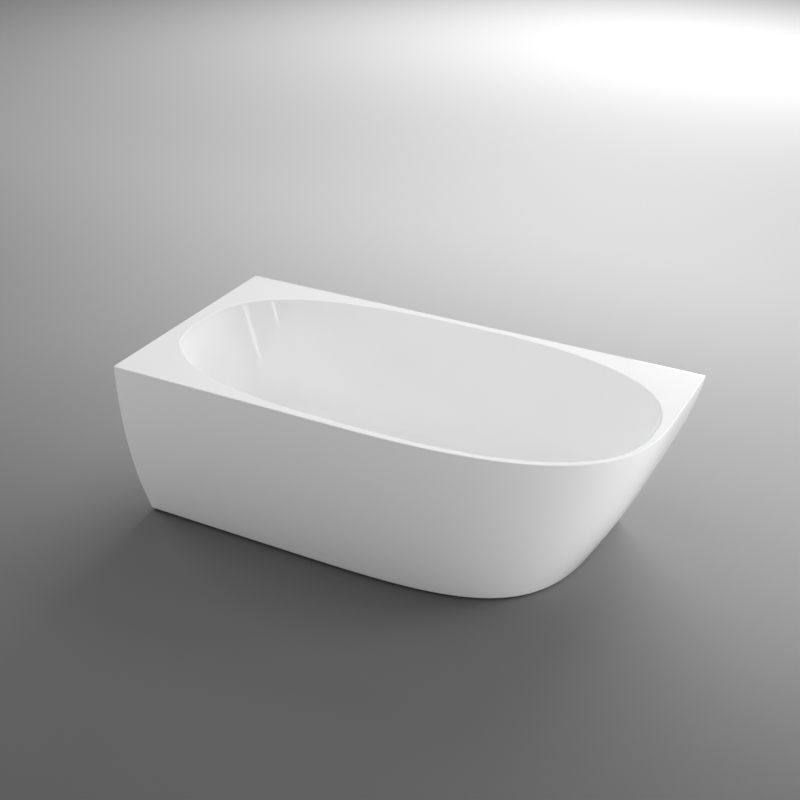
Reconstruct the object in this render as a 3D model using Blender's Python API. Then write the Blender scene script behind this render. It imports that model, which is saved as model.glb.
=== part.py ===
"""Corner bathtub with a moulded skin on a levelling steel frame. Metres, +Z up.

The origin is the centre of the footprint at floor level: X runs along the bath,
Y from the front apron to the wall side, and Z up. The left end and the back are
the straight wall sides. The front runs into one large rounded corner.
"""

import math

import bmesh
import bpy
import numpy as np
from mathutils import Matrix, Vector

# Overall size
LENGTH = 1.650
WIDTH = 0.800
HEIGHT = 0.600
GAP = 0.0003  # clearance between parts that touch

# Outline of the apron: a straight front, then a superellipse corner to the right end.
# Each pair is the value at the deck and at the floor.
CORNER_X = (-0.0862, -0.5107)
CORNER_Y = (0.1269, 0.5911)
CORNER_POWER_X = (2.854, 4.956)
CORNER_POWER_Y = (3.123, 4.956)
FRONT_INSET = 0.1111  # how far the front leans in at the floor
FRONT_LEAN = 2.216  # power of the depth that the front follows
RIGHT_INSET = 0.234
RIGHT_LEAN = 1.325

# Bathing well
WELL_CENTRE_X = 0.0517
WELL_LEFT = 0.8258
WELL_RIGHT = 0.7421
WELL_HALF_WIDTH = 0.3742
WELL_POWER_LEFT = 2.694
WELL_POWER_RIGHT = 2.460
WELL_DEPTH = 0.436
WALL_DEPTH = 0.330  # depth of the straight part of the wall
WALL_SHARE = 0.45  # share of the inset that the straight wall takes
INSET_LEFT = 0.270  # from the rim to the flat floor
INSET_RIGHT = 0.300
INSET_SIDE = 0.130
LIP_RADIUS = 0.005
EDGE_CHAMFER = 0.003
SHELL = 0.006  # laminate thickness of the basin
DECK_THICKNESS = 0.005
SKIN = 0.005  # thickness of the apron
SKIN_BOTTOM = 0.004  # height of the apron's lower edge

# Service opening in the back of the skin, open to the floor
SERVICE_X = (-0.340, 0.460)
SERVICE_TOP = 0.420
SERVICE_RADIUS = 0.040

# Drain and overflow
DRAIN = (0.060, 0.000)
DRAIN_HOLE_R = 0.026
DRAIN_SEAT_R = 0.046
DRAIN_FALL = 0.004  # the floor falls this much to the drain
OVERFLOW_DEPTH = 0.100
OVERFLOW_HOLE_R = 0.0225
HOSE_R = 0.0115
HOSE_WALL = 0.002
HOSE_Z = 0.086  # height of the hose where it meets the waste
TRAP_Z = (0.012, 0.046)  # the trap's underside and its shoulder
OUTLET_Z = 0.031
GASKET = 0.002  # thickness of the gaskets behind the shell

# Heights of the stack below the floor of the well
DRAIN_Z = HEIGHT - WELL_DEPTH - DRAIN_FALL
BOARD_THICKNESS = 0.018
BOARD_TOP = DRAIN_Z - SHELL - GAP
TUBE = 0.030  # square tube of the frame
TUBE_WALL = 0.002
RAIL_TOP = BOARD_TOP - BOARD_THICKNESS - GAP
BEAM_TOP = RAIL_TOP - TUBE - GAP
BEAM_BOTTOM = BEAM_TOP - TUBE
POST = 0.025

# Frame
RAIL_X = (-0.715, 0.515)
RAIL_Y = {"front": -0.160, "back": 0.200}
BEAMS = {  # x of the beam, its front end and its back end
    "left": (-0.700, -0.285, 0.375),
    "centre": (-0.120, -0.270, 0.225),
    "right": (0.500, -0.085, 0.380),
}
POSTS = {  # centre of each upright that carries the deck
    "front_left": (-0.700, -0.240),
    "back_left": (-0.700, 0.350),
    "back_right": (0.500, 0.364),
}

# Levelling feet: beam and distance along Y
FEET = (
    ("left", -0.215),
    ("left", 0.300),
    ("centre", -0.215),
    ("right", -0.040),
    ("right", 0.310),
)
PAD_R = 0.025
PAD_HEIGHT = 0.020
PAD_SOCKET_Z = 0.006
ROD_R = 0.006
ROD_ABOVE_BEAM = 0.019
NUT_R = 0.011
NUT_BORE = 0.0064
BOSS_HEIGHT = 0.010
LOCK_NUT_HEIGHT = 0.007

# Mesh fineness
LEFT_STEPS = 9
FRONT_STEPS = 40
BACK_STEPS = 17
ROUND_STEPS = 24
SMALL_STEPS = 16

COLOURS = {  # linear colour, roughness, metallic
    "acrylic": ((0.90, 0.91, 0.92), 0.12, 0.0),
    "plywood": ((0.55, 0.38, 0.22), 0.70, 0.0),
    "frame_coat": ((0.60, 0.61, 0.62), 0.45, 0.0),
    "zinc_steel": ((0.56, 0.57, 0.58), 0.40, 1.0),
    "chrome": ((0.80, 0.80, 0.81), 0.08, 1.0),
    "white_plastic": ((0.82, 0.82, 0.80), 0.35, 0.0),
    "grey_plastic": ((0.30, 0.31, 0.32), 0.45, 0.0),
    "black_rubber": ((0.02, 0.02, 0.02), 0.80, 0.0),
}


# ---------------------------------------------------------------- scene and material


def clear_scene():
    for old in list(bpy.data.objects):
        bpy.data.objects.remove(old, do_unlink=True)


def material(name):
    found = bpy.data.materials.get(name)
    if found:
        return found
    colour, roughness, metallic = COLOURS[name]
    made = bpy.data.materials.new(name)
    made.use_nodes = True
    shader = made.node_tree.nodes["Principled BSDF"]
    shader.inputs["Base Color"].default_value = (*colour, 1.0)
    shader.inputs["Roughness"].default_value = roughness
    shader.inputs["Metallic"].default_value = metallic
    return made


def add_object(name, mesh, finish, parent=None, location=(0, 0, 0)):
    body = bpy.data.objects.new(name, mesh)
    bpy.context.scene.collection.objects.link(body)
    if not mesh.materials:
        mesh.materials.append(material(finish))
    body.location = location
    body.parent = parent
    return body


def add_empty(name, location=(0, 0, 0), parent=None):
    empty = bpy.data.objects.new(name, None)
    bpy.context.scene.collection.objects.link(empty)
    empty.location = location
    empty.parent = parent
    return empty


# ---------------------------------------------------------------- shapes


def finish_mesh(name, work):
    """Merges doubled points, turns the faces outwards and shades the result smooth."""
    bmesh.ops.remove_doubles(work, verts=work.verts, dist=1e-6)
    bmesh.ops.recalc_face_normals(work, faces=work.faces)
    mesh = bpy.data.meshes.new(name)
    work.to_mesh(mesh)
    work.free()
    mesh.shade_smooth()
    mesh.set_sharp_from_angle(angle=math.radians(35))
    return mesh


def ring_mesh(name, rings):
    """A closed body from rings of equal length, the last of which joins the first."""
    rings = np.asarray(rings, dtype=float)
    count, around = rings.shape[:2]
    index = np.arange(count * around).reshape(count, around)
    below = np.roll(index, -1, axis=0)
    faces = np.stack(
        [index, np.roll(index, -1, axis=1), np.roll(below, -1, axis=1), below], axis=-1
    )
    mesh = bpy.data.meshes.new(name)
    mesh.from_pydata(rings.reshape(-1, 3).tolist(), [], faces.reshape(-1, 4).tolist())
    work = bmesh.new()
    work.from_mesh(mesh)
    bpy.data.meshes.remove(mesh)
    return finish_mesh(name, work)


def turned_mesh(name, profile, steps=ROUND_STEPS):
    """A profile of (radius, height) points turned about Z, closed by the axis or by itself."""
    work = bmesh.new()
    points = [work.verts.new((radius, 0, height)) for radius, height in profile]
    edges = [work.edges.new(pair) for pair in zip(points, points[1:])]
    if profile[0][0] > 0:
        edges.append(work.edges.new((points[-1], points[0])))
    bmesh.ops.spin(
        work,
        geom=points + edges,
        axis=(0, 0, 1),
        cent=(0, 0, 0),
        angle=math.tau,
        steps=steps,
        use_merge=True,
    )
    return finish_mesh(name, work)


def prism_mesh(name, outline, height, hole=None):
    """An outline of (x, y) points raised by height, with an optional matching hole."""
    outer = np.array(outline, dtype=float)

    def level(points, z):
        return np.column_stack([points, np.full(len(points), z)])

    if hole is not None:
        inner = np.array(hole, dtype=float)
        rings = [level(outer, 0), level(outer, height), level(inner, height), level(inner, 0)]
        return ring_mesh(name, rings)
    work = bmesh.new()
    face = work.faces.new([work.verts.new((x, y, 0)) for x, y in outer])
    raised = bmesh.ops.extrude_face_region(work, geom=[face])["geom"]
    lifted = [part for part in raised if isinstance(part, bmesh.types.BMVert)]
    bmesh.ops.translate(work, verts=lifted, vec=(0, 0, height))
    return finish_mesh(name, work)


def circle(radius, steps, phase=0.0):
    angle = phase + np.arange(steps) * math.tau / steps
    return np.column_stack([radius * np.cos(angle), radius * np.sin(angle)])


def square_ring(side, at, axis):
    """Four corners of a square of this side, square to the X, Y or Z axis."""
    half = side / 2
    corners = np.array([(-half, -half), (half, -half), (half, half), (-half, half)])
    return np.insert(corners, "XYZ".index(axis), at, axis=1)


def square_tube(name, side, start, end, axis, centre):
    inner = side - 2 * TUBE_WALL
    rings = [
        square_ring(side, start, axis),
        square_ring(side, end, axis),
        square_ring(inner, end, axis),
        square_ring(inner, start, axis),
    ]
    return add_object(name, ring_mesh(name, rings), "frame_coat", location=centre)


def cylinder_mesh(name, radius, low, high, steps=SMALL_STEPS):
    work = bmesh.new()
    bmesh.ops.create_cone(
        work,
        cap_ends=True,
        segments=steps,
        radius1=radius,
        radius2=radius,
        depth=high - low,
        matrix=Matrix.Translation((0, 0, (low + high) / 2)),
    )
    return finish_mesh(name, work)


def box_mesh(name, size, centre=(0, 0, 0), radius=0.0, round_along=None):
    """A box, with the four edges along one axis rounded if a radius is given."""
    work = bmesh.new()
    bmesh.ops.create_cube(work, size=1)
    bmesh.ops.scale(work, vec=size, verts=work.verts)
    if radius:
        along = Vector([float(axis == round_along) for axis in "XYZ"])
        edges = [
            edge
            for edge in work.edges
            if abs((edge.verts[1].co - edge.verts[0].co).normalized().dot(along)) > 0.9
        ]
        bmesh.ops.bevel(work, geom=edges, offset=radius, segments=4, profile=0.5, affect="EDGES")
    bmesh.ops.translate(work, vec=centre, verts=work.verts)
    return finish_mesh(name, work)


def helper(name, mesh, parent=None, location=(0, 0, 0)):
    """A body that only cuts or adds to others."""
    body = add_object(name, mesh, "zinc_steel", parent, location)
    body.hide_render = True
    body.display_type = "WIRE"
    return body


def combine(body, other, operation="DIFFERENCE"):
    modifier = body.modifiers.new(f"{operation.lower()}_{other.name}"[:60], "BOOLEAN")
    modifier.operation = operation
    modifier.object = other
    modifier.solver = "EXACT"


# ---------------------------------------------------------------- outlines


def at_depth(pair, share):
    return pair[0] + (pair[1] - pair[0]) * share


def resampled(path, steps):
    """A polyline read again at equal distances."""
    length = np.concatenate([[0], np.cumsum(np.linalg.norm(np.diff(path, axis=0), axis=1))])
    wanted = np.linspace(0, length[-1], steps + 1)
    return np.column_stack([np.interp(wanted, length, path[:, axis]) for axis in (0, 1)])


def apron_path(depth, inset):
    """From the front left corner along the front and round to the back right corner."""
    front_share = depth**FRONT_LEAN
    right_share = depth**RIGHT_LEAN
    corner_share = (front_share + right_share) / 2
    centre_x = at_depth(CORNER_X, corner_share)
    centre_y = at_depth(CORNER_Y, corner_share)
    front_y = -WIDTH / 2 + FRONT_INSET * front_share + inset
    right_x = LENGTH / 2 - RIGHT_INSET * right_share - inset
    angle = np.linspace(0, math.pi / 2, 400)
    x = centre_x + (right_x - centre_x) * np.sin(angle) ** (
        2 / at_depth(CORNER_POWER_X, corner_share)
    )
    y = centre_y - (centre_y - front_y) * np.cos(angle) ** (
        2 / at_depth(CORNER_POWER_Y, corner_share)
    )
    back_y = WIDTH / 2 - inset
    kept = y < back_y
    end_x = right_x if kept.all() else np.interp(back_y, y, x)
    return np.vstack(
        [
            [(-LENGTH / 2 + inset, front_y)],
            np.column_stack([x, y])[kept],
            [(end_x, back_y)],
        ]
    )


def outline(depth, inset=0.0):
    """The skin's outline at a depth from 0 at the deck to 1 at the floor."""
    path = resampled(apron_path(depth, inset), FRONT_STEPS)
    left_x = -LENGTH / 2 + inset
    back_y = WIDTH / 2 - inset
    left = np.column_stack(
        [np.full(LEFT_STEPS, left_x), np.linspace(back_y, path[0, 1], LEFT_STEPS + 1)[:-1]]
    )
    back = np.column_stack(
        [np.linspace(path[-1, 0], left_x, BACK_STEPS + 1)[:-1], np.full(BACK_STEPS, back_y)]
    )
    return np.vstack([left, path[:-1], back])


def well_ring(angle, share, grow=0.0):
    """The well's superellipse with a share of its inset taken and grown outwards."""
    left = WELL_LEFT - INSET_LEFT * share + grow
    right = WELL_RIGHT - INSET_RIGHT * share + grow
    half = WELL_HALF_WIDTH - INSET_SIDE * share + grow
    to_right = np.cos(angle) > 0
    reach = np.where(to_right, right, left)
    power = np.where(to_right, WELL_POWER_RIGHT, WELL_POWER_LEFT)
    radius = (
        np.abs(np.cos(angle) / reach) ** power + np.abs(np.sin(angle) / half) ** power
    ) ** (-1 / power)
    return np.column_stack(
        [WELL_CENTRE_X + radius * np.cos(angle), radius * np.sin(angle)]
    )


def wall_profile(steps=4):
    """(share of the inset, depth) from the lip down to the edge of the flat floor."""
    straight = [
        (WALL_SHARE * s, LIP_RADIUS + (WALL_DEPTH - LIP_RADIUS) * s)
        for s in np.linspace(0, 1, steps)
    ]
    slope = WALL_SHARE / (WALL_DEPTH - LIP_RADIUS)
    knee = (WALL_SHARE + slope * (WELL_DEPTH - WALL_DEPTH), WELL_DEPTH)
    end = (1.0, WELL_DEPTH)
    bend = [
        tuple(
            (1 - s) ** 2 * a + 2 * s * (1 - s) * b + s**2 * c
            for a, b, c in zip(straight[-1], knee, end)
        )
        for s in (0.3, 0.55, 0.78, 1.0)
    ]
    return straight + bend


def wall_share(depth):
    """The share of the inset at a depth on the straight wall."""
    return WALL_SHARE * (depth - LIP_RADIUS) / (WALL_DEPTH - LIP_RADIUS)


def raised(points, z):
    return np.column_stack([points, np.full(len(points), z)])


# ---------------------------------------------------------------- basin and skin


def basin_side(angle, grow, drop):
    """Rings of one side of the basin, from its lip to the drain hole."""
    rings = [
        raised(well_ring(angle, share, grow), HEIGHT - depth - drop * min(1, depth / WALL_DEPTH))
        for share, depth in wall_profile()
    ]
    drain = np.array(DRAIN)
    floor_edge = well_ring(angle, 1.0, grow)
    seat = drain + DRAIN_SEAT_R * direction_from(drain, floor_edge)
    hole = drain + DRAIN_HOLE_R * direction_from(drain, floor_edge)
    for share in (0.4, 0.75):
        height = HEIGHT - WELL_DEPTH - drop - DRAIN_FALL * share
        rings.append(raised(floor_edge + (seat - floor_edge) * share, height))
    rings.append(raised(seat, DRAIN_Z - drop))
    rings.append(raised(hole, DRAIN_Z - drop))
    return rings


def direction_from(centre, points):
    away = points - centre
    return away / np.linalg.norm(away, axis=1)[:, None]


def build_basin():
    deck_edge = outline(0.0)
    centre = np.array([WELL_CENTRE_X, 0.0])
    angle = np.arctan2(*(deck_edge - centre).T[::-1])
    rings = [
        raised(deck_edge, HEIGHT - DECK_THICKNESS),
        raised(deck_edge, HEIGHT - EDGE_CHAMFER),
        raised(outline(0.0, EDGE_CHAMFER), HEIGHT),
        raised(well_ring(angle, 0, LIP_RADIUS), HEIGHT),
        raised(well_ring(angle, 0, 0.3 * LIP_RADIUS), HEIGHT - 0.3 * LIP_RADIUS),
    ]
    rings += basin_side(angle, 0.0, 0.0)
    under = basin_side(angle, SHELL, SHELL)
    under[0][:, 2] = HEIGHT - DECK_THICKNESS
    rings += under[::-1]
    return add_object("basin_shell", ring_mesh("basin_shell", rings), "acrylic")


def build_skin():
    top = HEIGHT - DECK_THICKNESS - GAP
    heights = np.array([top, 0.53, 0.45, 0.36, 0.27, 0.18, 0.09, SKIN_BOTTOM])
    outside = [raised(outline(1 - z / HEIGHT), z) for z in heights]
    inside = [raised(outline(1 - z / HEIGHT, SKIN), z) for z in heights]
    skin = add_object("outer_skin", ring_mesh("outer_skin", outside + inside[::-1]), "acrylic")
    reach = 0.1  # how far the cutter stands out past the skin's faces
    tall = SERVICE_TOP + reach
    mesh = box_mesh(
        "service_opening",
        (SERVICE_X[1] - SERVICE_X[0], reach, tall),
        (sum(SERVICE_X) / 2, WIDTH / 2, SERVICE_TOP - tall / 2),
        SERVICE_RADIUS,
        "Y",
    )
    combine(skin, helper("cut_service_opening", mesh))


# ---------------------------------------------------------------- frame


def build_board():
    """Plywood under the flat floor, with a round hole about the drain."""
    steps = 32
    half_x, half_y, power = 0.430, 0.195, 6.0
    hole_r = 0.046
    angle = np.arange(steps) * math.tau / steps
    radius = (
        np.abs(np.cos(angle) / half_x) ** power + np.abs(np.sin(angle) / half_y) ** power
    ) ** (-1 / power)
    edge = np.column_stack([radius * np.cos(angle), radius * np.sin(angle)])
    mesh = prism_mesh("base_board", edge, BOARD_THICKNESS, circle(hole_r, steps))
    location = (*DRAIN, BOARD_TOP - BOARD_THICKNESS)
    add_object("base_board", mesh, "plywood", location=location)


def build_frame():
    rail_z = RAIL_TOP - TUBE / 2
    for side, y in RAIL_Y.items():
        square_tube(f"frame_rail_{side}", TUBE, *RAIL_X, "X", (0, y, rail_z))
    beams = {}
    for side, (x, front, back) in BEAMS.items():
        centre = (x, 0, BEAM_TOP - TUBE / 2)
        beams[side] = square_tube(f"frame_beam_{side}", TUBE, front, back, "Y", centre)
    deck_underside = HEIGHT - DECK_THICKNESS
    post_top = deck_underside - GAP - BOARD_THICKNESS - GAP
    for place, (x, y) in POSTS.items():
        square_tube(f"frame_post_{place}", POST, BEAM_TOP + GAP, post_top, "Z", (x, y, 0))
    return beams


def build_rim_blocks():
    """Three-cornered plywood blocks under the wide corners of the deck."""
    margin = SKIN + 0.003
    left = -LENGTH / 2 + margin
    back = WIDTH / 2 - margin
    along, across = 0.190, 0.160  # lengths of a block's edges on the left side
    start, middle, end = 0.465, 0.347, 0.745  # of the block at the right end
    corners = {
        "front_left": [(left, -back), (left + along, -back), (left, -0.235)],
        "back_left": [(left, back), (left, back - across), (left + along, back)],
        "back_right": [(start, back), (start, middle), (end, back - 0.135), (end, back)],
    }
    bottom = HEIGHT - DECK_THICKNESS - GAP - BOARD_THICKNESS
    for place, shape in corners.items():
        name = f"rim_block_{place}"
        mesh = prism_mesh(name, shape, BOARD_THICKNESS)
        add_object(name, mesh, "plywood", location=(0, 0, bottom))


def strip_mesh(name, path, width, thickness):
    """A bent strip: a path of (distance, height) points, with its thickness to one side."""
    path = np.array(path)
    steps = np.diff(path, axis=0)
    normals = np.column_stack([-steps[:, 1], steps[:, 0]])
    normals /= np.linalg.norm(normals, axis=1)[:, None]
    corner = normals[:-1] + normals[1:]
    corner *= 2 / (corner**2).sum(axis=1)[:, None]
    offset = np.vstack([normals[:1], corner, normals[-1:]]) * thickness
    edge = np.vstack([path, (path + offset)[::-1]])
    work = bmesh.new()
    face = work.faces.new([work.verts.new((x, -width / 2, z)) for x, z in edge])
    extruded = bmesh.ops.extrude_face_region(work, geom=[face])["geom"]
    moved = [part for part in extruded if isinstance(part, bmesh.types.BMVert)]
    bmesh.ops.translate(work, verts=moved, vec=(0, width, 0))
    return finish_mesh(name, work)


def skin_lean(inset, power, height):
    """How far one side of the apron has leant in at a height, and its slope there."""
    depth = 1 - height / HEIGHT
    return inset * depth**power, inset * power * depth ** (power - 1) / HEIGHT


def build_brackets(beams, rail):
    """Bent strips that tie the apron to the frame, each with one screw."""
    to_front = -math.pi / 2
    beam_z, rail_z = BEAM_TOP + GAP, RAIL_TOP + GAP
    front_in, front_slope = skin_lean(FRONT_INSET, FRONT_LEAN, beam_z)
    right_in, right_slope = skin_lean(RIGHT_INSET, RIGHT_LEAN, rail_z)
    clear = 0.0025  # to the inside of the skin
    front_y = -WIDTH / 2 + front_in + SKIN + clear
    right_x = LENGTH / 2 - right_in - SKIN - clear
    left_y, centre_y, right_start = -0.275, -0.255, 0.485
    # place, carrier, position, turn about Z, reach to the skin, slope of the skin
    brackets = (
        (
            "front_left",
            beams["left"],
            (BEAMS["left"][0], left_y, beam_z),
            to_front,
            left_y - front_y,
            front_slope,
        ),
        (
            "front_centre",
            beams["centre"],
            (BEAMS["centre"][0], centre_y, beam_z),
            to_front,
            centre_y - front_y,
            front_slope,
        ),
        (
            "right",
            rail,
            (right_start, RAIL_Y["back"], rail_z),
            0.0,
            right_x - right_start,
            right_slope,
        ),
    )
    width, thickness, rise, tail = 0.024, 0.003, 0.050, 0.020
    for place, carrier, position, turn, reach, lean in brackets:
        name = f"skin_bracket_{place}"
        path = [(-tail, 0), (reach, 0), (reach + lean * rise, rise)]
        holder = add_empty(f"place_{name}", position)
        holder.rotation_euler.z = turn
        bracket = add_object(
            name, strip_mesh(name, path, width, thickness), "zinc_steel", holder
        )
        screw = f"bracket_screw_{place}"
        head_r, head_h, shank_r, shank = 0.0060, 0.004, 0.0028, 0.010
        seat = thickness + GAP
        profile = [
            (0, seat - shank),
            (shank_r, seat - shank),
            (shank_r, seat),
            (head_r, seat),
            (head_r, seat + 0.6 * head_h),
            (0.6 * head_r, seat + head_h),
            (0, seat + head_h),
        ]
        add_object(screw, turned_mesh(screw, profile, 12), "zinc_steel", holder)
        hole = helper(
            f"cut_{screw}", cylinder_mesh(screw, shank_r + GAP, -0.01, 0.01, 12), holder
        )
        combine(bracket, hole)
        combine(carrier, hole)


# ---------------------------------------------------------------- levelling feet


def pad_profile():
    edge, rim, foot, neck_r = 0.0015, 0.006, 0.010, 0.011
    socket_r = ROD_R + GAP
    return [
        (0, 0),
        (PAD_R - edge, 0),
        (PAD_R, edge),
        (PAD_R, rim),
        (neck_r + 0.002, foot),
        (neck_r, PAD_HEIGHT),
        (socket_r, PAD_HEIGHT),
        (socket_r, PAD_SOCKET_Z),
        (0, PAD_SOCKET_Z),
    ]


def rod_profile():
    collar_r, collar_low, collar_high = 0.0085, 0.024, 0.030
    top = BEAM_BOTTOM + ROD_ABOVE_BEAM
    return [
        (0, PAD_SOCKET_Z + GAP),
        (ROD_R, PAD_SOCKET_Z + GAP),
        (ROD_R, collar_low),
        (collar_r, collar_low),
        (collar_r, collar_high),
        (ROD_R, collar_high),
        (ROD_R, top - 0.001),
        (ROD_R - 0.001, top),
        (0, top),
    ]


def nut_mesh(name, height):
    """A hexagon nut: twelve points around both the hexagon and its bore."""
    corners = circle(NUT_R, 6)
    middles = (corners + np.roll(corners, -1, axis=0)) / 2
    hexagon = np.stack([corners, middles], axis=1).reshape(-1, 2)
    return prism_mesh(name, hexagon, height, circle(NUT_BORE, 12))


def build_feet(beams):
    pad = turned_mesh("foot_pad", pad_profile(), SMALL_STEPS)
    rod = turned_mesh("foot_rod", rod_profile(), 12)
    boss = nut_mesh("foot_boss", BOSS_HEIGHT)
    lock_nut = nut_mesh("foot_lock_nut", LOCK_NUT_HEIGHT)
    boss_z = BEAM_BOTTOM - GAP - BOSS_HEIGHT
    lock_z = boss_z - GAP - LOCK_NUT_HEIGHT
    for number, (side, y) in enumerate(FEET, start=1):
        x = BEAMS[side][0]
        axis = add_empty(f"foot_axis_{number}", (x, y, 0))
        add_object(f"foot_pad_{number}", pad, "black_rubber", axis)
        add_object(f"foot_rod_{number}", rod, "zinc_steel", axis)
        add_object(f"foot_boss_{number}", boss, "zinc_steel", axis, (0, 0, boss_z))
        add_object(f"foot_lock_nut_{number}", lock_nut, "zinc_steel", axis, (0, 0, lock_z))
        hole = cylinder_mesh("rod_hole", ROD_R + 0.0015, -0.005, 0.005, 12)
        cutter = helper(f"cut_rod_hole_{number}", hole, axis, (0, 0, BEAM_BOTTOM))
        combine(beams[side], cutter)


# ---------------------------------------------------------------- waste


def ring_profile(inner, outer, low, high):
    return [(inner, low), (outer, low), (outer, high), (inner, high)]


def build_waste():
    """The drain fitting, on an axis through the drain with Z = 0 at the floor of the well."""
    axis = add_empty("drain_axis", (*DRAIN, DRAIN_Z))
    seat = 0.0015 + GAP  # the upper gasket's top
    gasket_r = DRAIN_HOLE_R + 0.001
    ring = ring_profile(gasket_r, 0.034, GAP, seat)
    gasket = turned_mesh("waste_gasket_upper", ring)
    add_object("waste_gasket_upper", gasket, "black_rubber", axis)
    under = -SHELL - GAP
    ring = ring_profile(gasket_r, 0.036, under - GASKET, under)
    gasket = turned_mesh("waste_gasket_lower", ring)
    add_object("waste_gasket_lower", gasket, "black_rubber", axis)

    sleeve_r, bore_r, sleeve_end = 0.0245, 0.0215, -0.040
    face = seat + GAP
    flange_profile = [
        (bore_r, sleeve_end),
        (sleeve_r, sleeve_end),
        (sleeve_r, face),
        (0.035, face),
        (0.034, face + 0.0012),
        (bore_r + 0.002, face + 0.0020),
        (bore_r, face + 0.0008),
    ]
    mesh = turned_mesh("waste_flange", flange_profile)
    flange = add_object("waste_flange", mesh, "chrome", axis)
    bar = box_mesh("bar", (2 * bore_r + 0.003, 0.004, 0.006), (0, 0, -0.030))
    combine(flange, helper("join_flange_bar", bar, axis), "UNION")
    boss = cylinder_mesh("boss", 0.006, -0.034, -0.024, 12)
    combine(flange, helper("join_flange_boss", boss, axis), "UNION")
    stem_r = 0.003
    bore = cylinder_mesh("bore", stem_r + 0.0004, -0.05, 0.0, 12)
    combine(flange, helper("cut_flange_bore", bore, axis))

    cap_z = face + 0.0020 + GAP
    cap_r = 0.031
    plug_profile = [
        (0, -0.044),
        (stem_r, -0.044),
        (stem_r, cap_z - 0.004),
        (0.012, cap_z),
        (cap_r - 0.001, cap_z),
        (cap_r, cap_z + 0.001),
        (cap_r - 0.001, cap_z + 0.002),
        (0.6 * cap_r, cap_z + 0.0042),
        (0, cap_z + 0.0052),
    ]
    add_object("waste_plug", turned_mesh("waste_plug", plug_profile), "chrome", axis)
    seal = turned_mesh(
        "waste_plug_seal", ring_profile(0.0165, 0.0208, cap_z - 0.0022, cap_z - GAP)
    )
    add_object("waste_plug_seal", seal, "black_rubber", axis)

    top = under - GASKET - GAP
    floor_to_hose = HOSE_Z - DRAIN_Z
    shoulder = floor_to_hose - 0.014
    body_profile = [
        (0.0180, shoulder - 0.012),
        (0.0215, shoulder - 0.012),
        (0.0215, shoulder),
        (0.0290, shoulder + 0.002),
        (0.0290, top - 0.005),
        (0.0370, top - 0.003),
        (0.0370, top),
        (0.0250, top),
        (0.0250, shoulder + 0.005),
        (0.0180, shoulder + 0.003),
    ]
    mesh = turned_mesh("waste_body", body_profile)
    body = add_object("waste_body", mesh, "white_plastic", axis)
    inlet = add_empty("waste_inlet", (0, 0, floor_to_hose), axis)
    inlet.rotation_euler.x = math.pi / 2  # local Z now points to the front
    spigot = cylinder_mesh("spigot", HOSE_R - 0.001, 0.0265, 0.052, 12)
    combine(body, helper("join_waste_spigot", spigot, inlet), "UNION")
    bore = cylinder_mesh("spigot_bore", HOSE_R - 0.004, 0.0, 0.060, 12)
    combine(body, helper("cut_waste_spigot", bore, inlet))
    ring = ring_profile(HOSE_R + GAP, HOSE_R + 0.005, 0.042, 0.060)
    nut = turned_mesh("hose_nut_lower", ring, SMALL_STEPS)
    add_object("hose_nut_lower", nut, "grey_plastic", inlet)
    return axis, shoulder - 0.012


def build_trap(axis, neck_end):
    """A low trap under the drain, with its outlet to the wall side."""
    neck_r, body_r, wall = 0.0215, 0.048, 0.0035
    bottom, shoulder = TRAP_Z[0] - DRAIN_Z, TRAP_Z[1] - DRAIN_Z
    inlet_top = neck_end - GAP
    profile = [
        (0, bottom),
        (body_r - 0.006, bottom),
        (body_r, bottom + 0.006),
        (body_r, shoulder - 0.004),
        (body_r - 0.004, shoulder),
        (neck_r, shoulder),
        (neck_r, inlet_top),
        (neck_r - wall, inlet_top),
        (neck_r - wall, shoulder - wall),
        (body_r - 0.006, shoulder - wall),
        (body_r - wall, shoulder - 0.008),
        (body_r - wall, bottom + 0.007),
        (body_r - 0.007, bottom + wall),
        (0, bottom + wall),
    ]
    trap = add_object("trap_body", turned_mesh("trap_body", profile), "white_plastic", axis)
    ring = ring_profile(neck_r + GAP, neck_r + 0.007, neck_end - 0.006, neck_end + 0.0085)
    add_object("trap_nut", turned_mesh("trap_nut", ring), "grey_plastic", axis)

    outlet = add_empty("trap_outlet_axis", (0, 0, OUTLET_Z - DRAIN_Z), axis)
    outlet.rotation_euler.x = -math.pi / 2  # local Z now points to the wall side
    pipe_r, pipe_wall, bore_r = 0.016, 0.002, 0.010
    socket_end = body_r + 0.016
    bore = cylinder_mesh("outlet_bore", bore_r, 0.030, 0.070)
    socket = cylinder_mesh("outlet_socket", pipe_r, body_r - 0.005, socket_end)
    combine(trap, helper("join_trap_outlet", socket, outlet), "UNION")
    combine(trap, helper("cut_trap_outlet", bore, outlet))
    start = socket_end + GAP
    end = WIDTH / 2 - 0.010
    ring = ring_profile(pipe_r - pipe_wall, pipe_r, start, end)
    pipe = turned_mesh("outlet_pipe", ring, SMALL_STEPS)
    add_object("outlet_pipe", pipe, "white_plastic", outlet)
    ring = ring_profile(pipe_r + GAP, pipe_r + 0.006, body_r + 0.004, start + 0.012)
    nut = turned_mesh("outlet_nut", ring, SMALL_STEPS)
    add_object("outlet_nut", nut, "grey_plastic", outlet)


def overflow_place():
    """The point on the front wall of the well where the overflow sits, and the wall's lean."""
    share = wall_share(OVERFLOW_DEPTH)
    front = np.array([-math.pi / 2])
    y = well_ring(front, share)[0, 1]
    lean = math.atan2(INSET_SIDE * WALL_SHARE, WALL_DEPTH - LIP_RADIUS)
    return Vector((DRAIN[0], y, HEIGHT - OVERFLOW_DEPTH)), lean


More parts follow.
